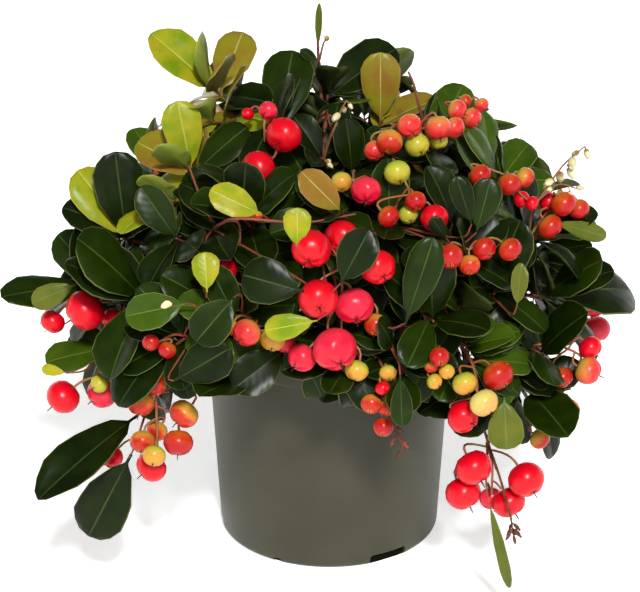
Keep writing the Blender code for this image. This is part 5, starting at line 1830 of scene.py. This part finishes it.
fruit_shapes = [fruit_shape(cut) for cut in FRUIT_CREASES]
hair = finish(
    "fruit_hair", (0.04, 0.016, 0.008), 0.7, 0.2, ((0.05, 0.02, 0.01), (0.02, 0.01, 0.006), 0.6 * MM),
)
coloured = defaultdict(list)
draw = random.Random("fruit")
for centre, tip_way, size, ripeness in fruit_places:
    chance = draw.random()
    chances = RIPENESS.get(ripeness, [(ripeness, 1.0)])
    colour = next(name for name, limit in chances if chance <= limit)
    turn = turn_to(tip_way, draw.uniform(0, 6))
    stretch = draw.uniform(0.95, 1.03)
    form = draw.randrange(len(FRUIT_CREASES) - 1) if colour != "pink" else len(FRUIT_CREASES) - 1
    coloured[colour].append((form, centre, turn, (size, size, size * stretch)))
for colour, places in coloured.items():
    cheek, waist, shoulder, star_and_crease_shade = FRUIT_COLOURS[colour]
    # Where the star is darker than the skin, it is partly painted shade in the creases
    star_and_crease_coat = finish(f"fruit_star_{colour}", star_and_crease_shade, 0.6, 0.25, (star_and_crease_shade, cheek, 0.9 * MM))
    skin = finish(f"fruit_{colour}", cheek, 0.3, 0.3, grains=(2.5 * MM, 0.15 * MM, 0.25))
    ripened(skin, (cheek, waist, shoulder))
    coats = {"Skin": skin, "Star": star_and_crease_coat, "Hair": hair}
    berries = set_copies(f"fruit_{colour}", fruit_shapes, places, coats)
    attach(berries, "root")
    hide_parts(*spray_nodes)


# Flowers: a few small waxy urn-shaped bells, each hanging from a short foot off a stalk that grows
# out of a shoot's tip. Two older stalks are dry and brown.
BELL_SIDES = 10
STALK_END_RADII = (0.6 * MM, 0.28 * MM)
BELL_FOOT_RADII = (0.25 * MM, 0.22 * MM)
# How far a bell hangs out from its stalk and down, in millimetres
BELL_FOOT_OUT = 0.9
BELL_FOOT_DOWN = 0.6
# Down the bell from its foot: share of its length, radius
BELL_PROFILE = (
    (0.0, 0.1), (0.04, 0.26), (0.16, 0.33), (0.42, 0.4), (0.68, 0.37),
    (0.86, 0.22), (0.95, 0.19), (1.0, 0.26), (0.97, 0.17),
)
BELL_CAP_RINGS = 2
BELL_WIDTH = 0.85
# Each stalk: spray, foot and tip in millimetres, bow upwards, bells, their length, dry
RACEMES = [
    ("right_upper", (79, -50, 161), (96, -44, 180), 0.1, 6, 5.4, False),
    ("right_upper", (79, -50, 161), (93, -46, 164), 0.25, 4, 4.2, False),
    ("upper_middle", (2, -46, 189), (6, -44, 198), 0.1, 3, 4.0, False),
    ("upper_middle", (-1, -58, 176), (-2, -64, 181), 0.1, 2, 4.2, False),
    ("top_twig", (-4, 6, 200), (-1, -2, 210), 0.2, 1, 4.8, False),
    ("upper_middle", (-2, -36, 184), (-1, -40, 193), 0.1, 7, 4.4, True),
    ("front_right_low", (22, -97, 92), (27, -98, 80), 0.1, 6, 4.2, True),
    ("right_hanging", (69, -88, 45.2), (69.8, -88, 39), 0.1, 7, 4.4, True),
]


def bell_shape():
    """A bell one unit long that hangs from its foot, with its mouth closed a little way up."""
    vertices, faces, parts = [], [], []
    for share, radius in BELL_PROFILE:
        for side in range(BELL_SIDES):
            clock = 2 * math.pi * side / BELL_SIDES
            reach = radius * BELL_WIDTH * (1 + (0.12 * math.cos(5 * clock) if share > 0.9 else 0))
            vertices.append(Vector((reach * math.cos(clock), reach * math.sin(clock), -share)))
    for ring in range(len(BELL_PROFILE) - 1):
        for side in range(BELL_SIDES):
            after = (side + 1) % BELL_SIDES
            near, far = ring * BELL_SIDES, (ring + 1) * BELL_SIDES
            faces.append((near + side, far + side, far + after, near + after))
            parts.append(1 if ring < BELL_CAP_RINGS else 0)
    first_ring = tuple(range(BELL_SIDES))
    last_ring = tuple(reversed(range(len(vertices) - BELL_SIDES, len(vertices))))
    return shape_mesh("bell", vertices, faces + [first_ring, last_ring], parts + [1, 0])


raceme_limbs = {False: [], True: []}
bells = {False: [], True: []}
draw = random.Random("flowers")
for name, foot, tip, bow, count, length, dry in RACEMES:
    foot, tip = Vector(foot) * MM, Vector(tip) * MM
    start = growths[name].nearest_limb(foot)
    run = (foot - start).length
    lead = (start, start.lerp(foot, 0.4) + UP * 0.15 * run, foot - (tip - foot) * 0.3, foot)
    middle = foot.lerp(tip, 0.5) + UP * bow * (tip - foot).length
    line = along_curve(lead, 6) + smoothed([foot, middle, tip])[1:]
    raceme_limbs[dry].append((line, tapering(len(line), *STALK_END_RADII)))
    route = (foot, foot.lerp(middle, 0.6), middle.lerp(tip, 0.4), tip)
    for index in range(count):
        share = 0.2 + 0.8 * (index + 1) / count
        base = curve_point(route, share)
        out = across(curve_way(route, share), 110 * index + draw.uniform(-20, 20))
        hang = (out * 0.8 - UP * (1.0 if dry else 0.7)).normalized()
        root = base + out * BELL_FOOT_OUT * MM - UP * BELL_FOOT_DOWN * MM
        raceme_limbs[dry].append(([base, root], BELL_FOOT_RADII))
        size = length * MM * draw.uniform(0.75, 1.05) * (1 if index < count - 2 else 0.75)
        narrow = size * (0.6 if dry else 1)
        bells[dry].append((0, root, turn_to(-hang, draw.uniform(0, 6)), (narrow, narrow, size)))
petal = finish(
    "flower_petals", (0.64, 0.58, 0.36), 0.5, 0.3, ((0.68, 0.63, 0.42), (0.52, 0.48, 0.22), 2 * MM),
)
petal_cap = finish(
    "flower_caps", (0.3, 0.2, 0.07), 0.6, 0.3, ((0.3, 0.26, 0.08), (0.3, 0.1, 0.04), 1.5 * MM),
)
dry_petal = finish(
    "dry_flowers", (0.13, 0.045, 0.025), 0.8, 0.2, ((0.2, 0.06, 0.03), (0.05, 0.02, 0.012), 1.5 * MM),
    grains=(0.8 * MM, 0.2 * MM, 0.7),
)
flower_stalk = finish(
    "flower_stalk_skin", (0.2, 0.12, 0.05), 0.6, 0.3, ((0.22, 0.14, 0.05), (0.2, 0.06, 0.03), 3 * MM),
)
bell_coats = {
    False: {"Petal": petal, "Cap": petal_cap},
    True: {"Petal": dry_petal, "Cap": dry_petal},
}
for dry, word in ((False, "fresh"), (True, "dry")):
    limbs, coat = raceme_limbs[dry], dry_petal if dry else flower_stalk
    flower_stalks = skinned(f"flower_stalks_{word}", limbs, STALK_SIDES, 2 * MM, 0.04 * MM, coat)
    flowers = set_copies(f"flowers_{word}", [bell_shape()], bells[dry], bell_coats[dry])
    for piece in (flower_stalks, flowers):
        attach(piece, "root")
        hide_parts(*spray_nodes)
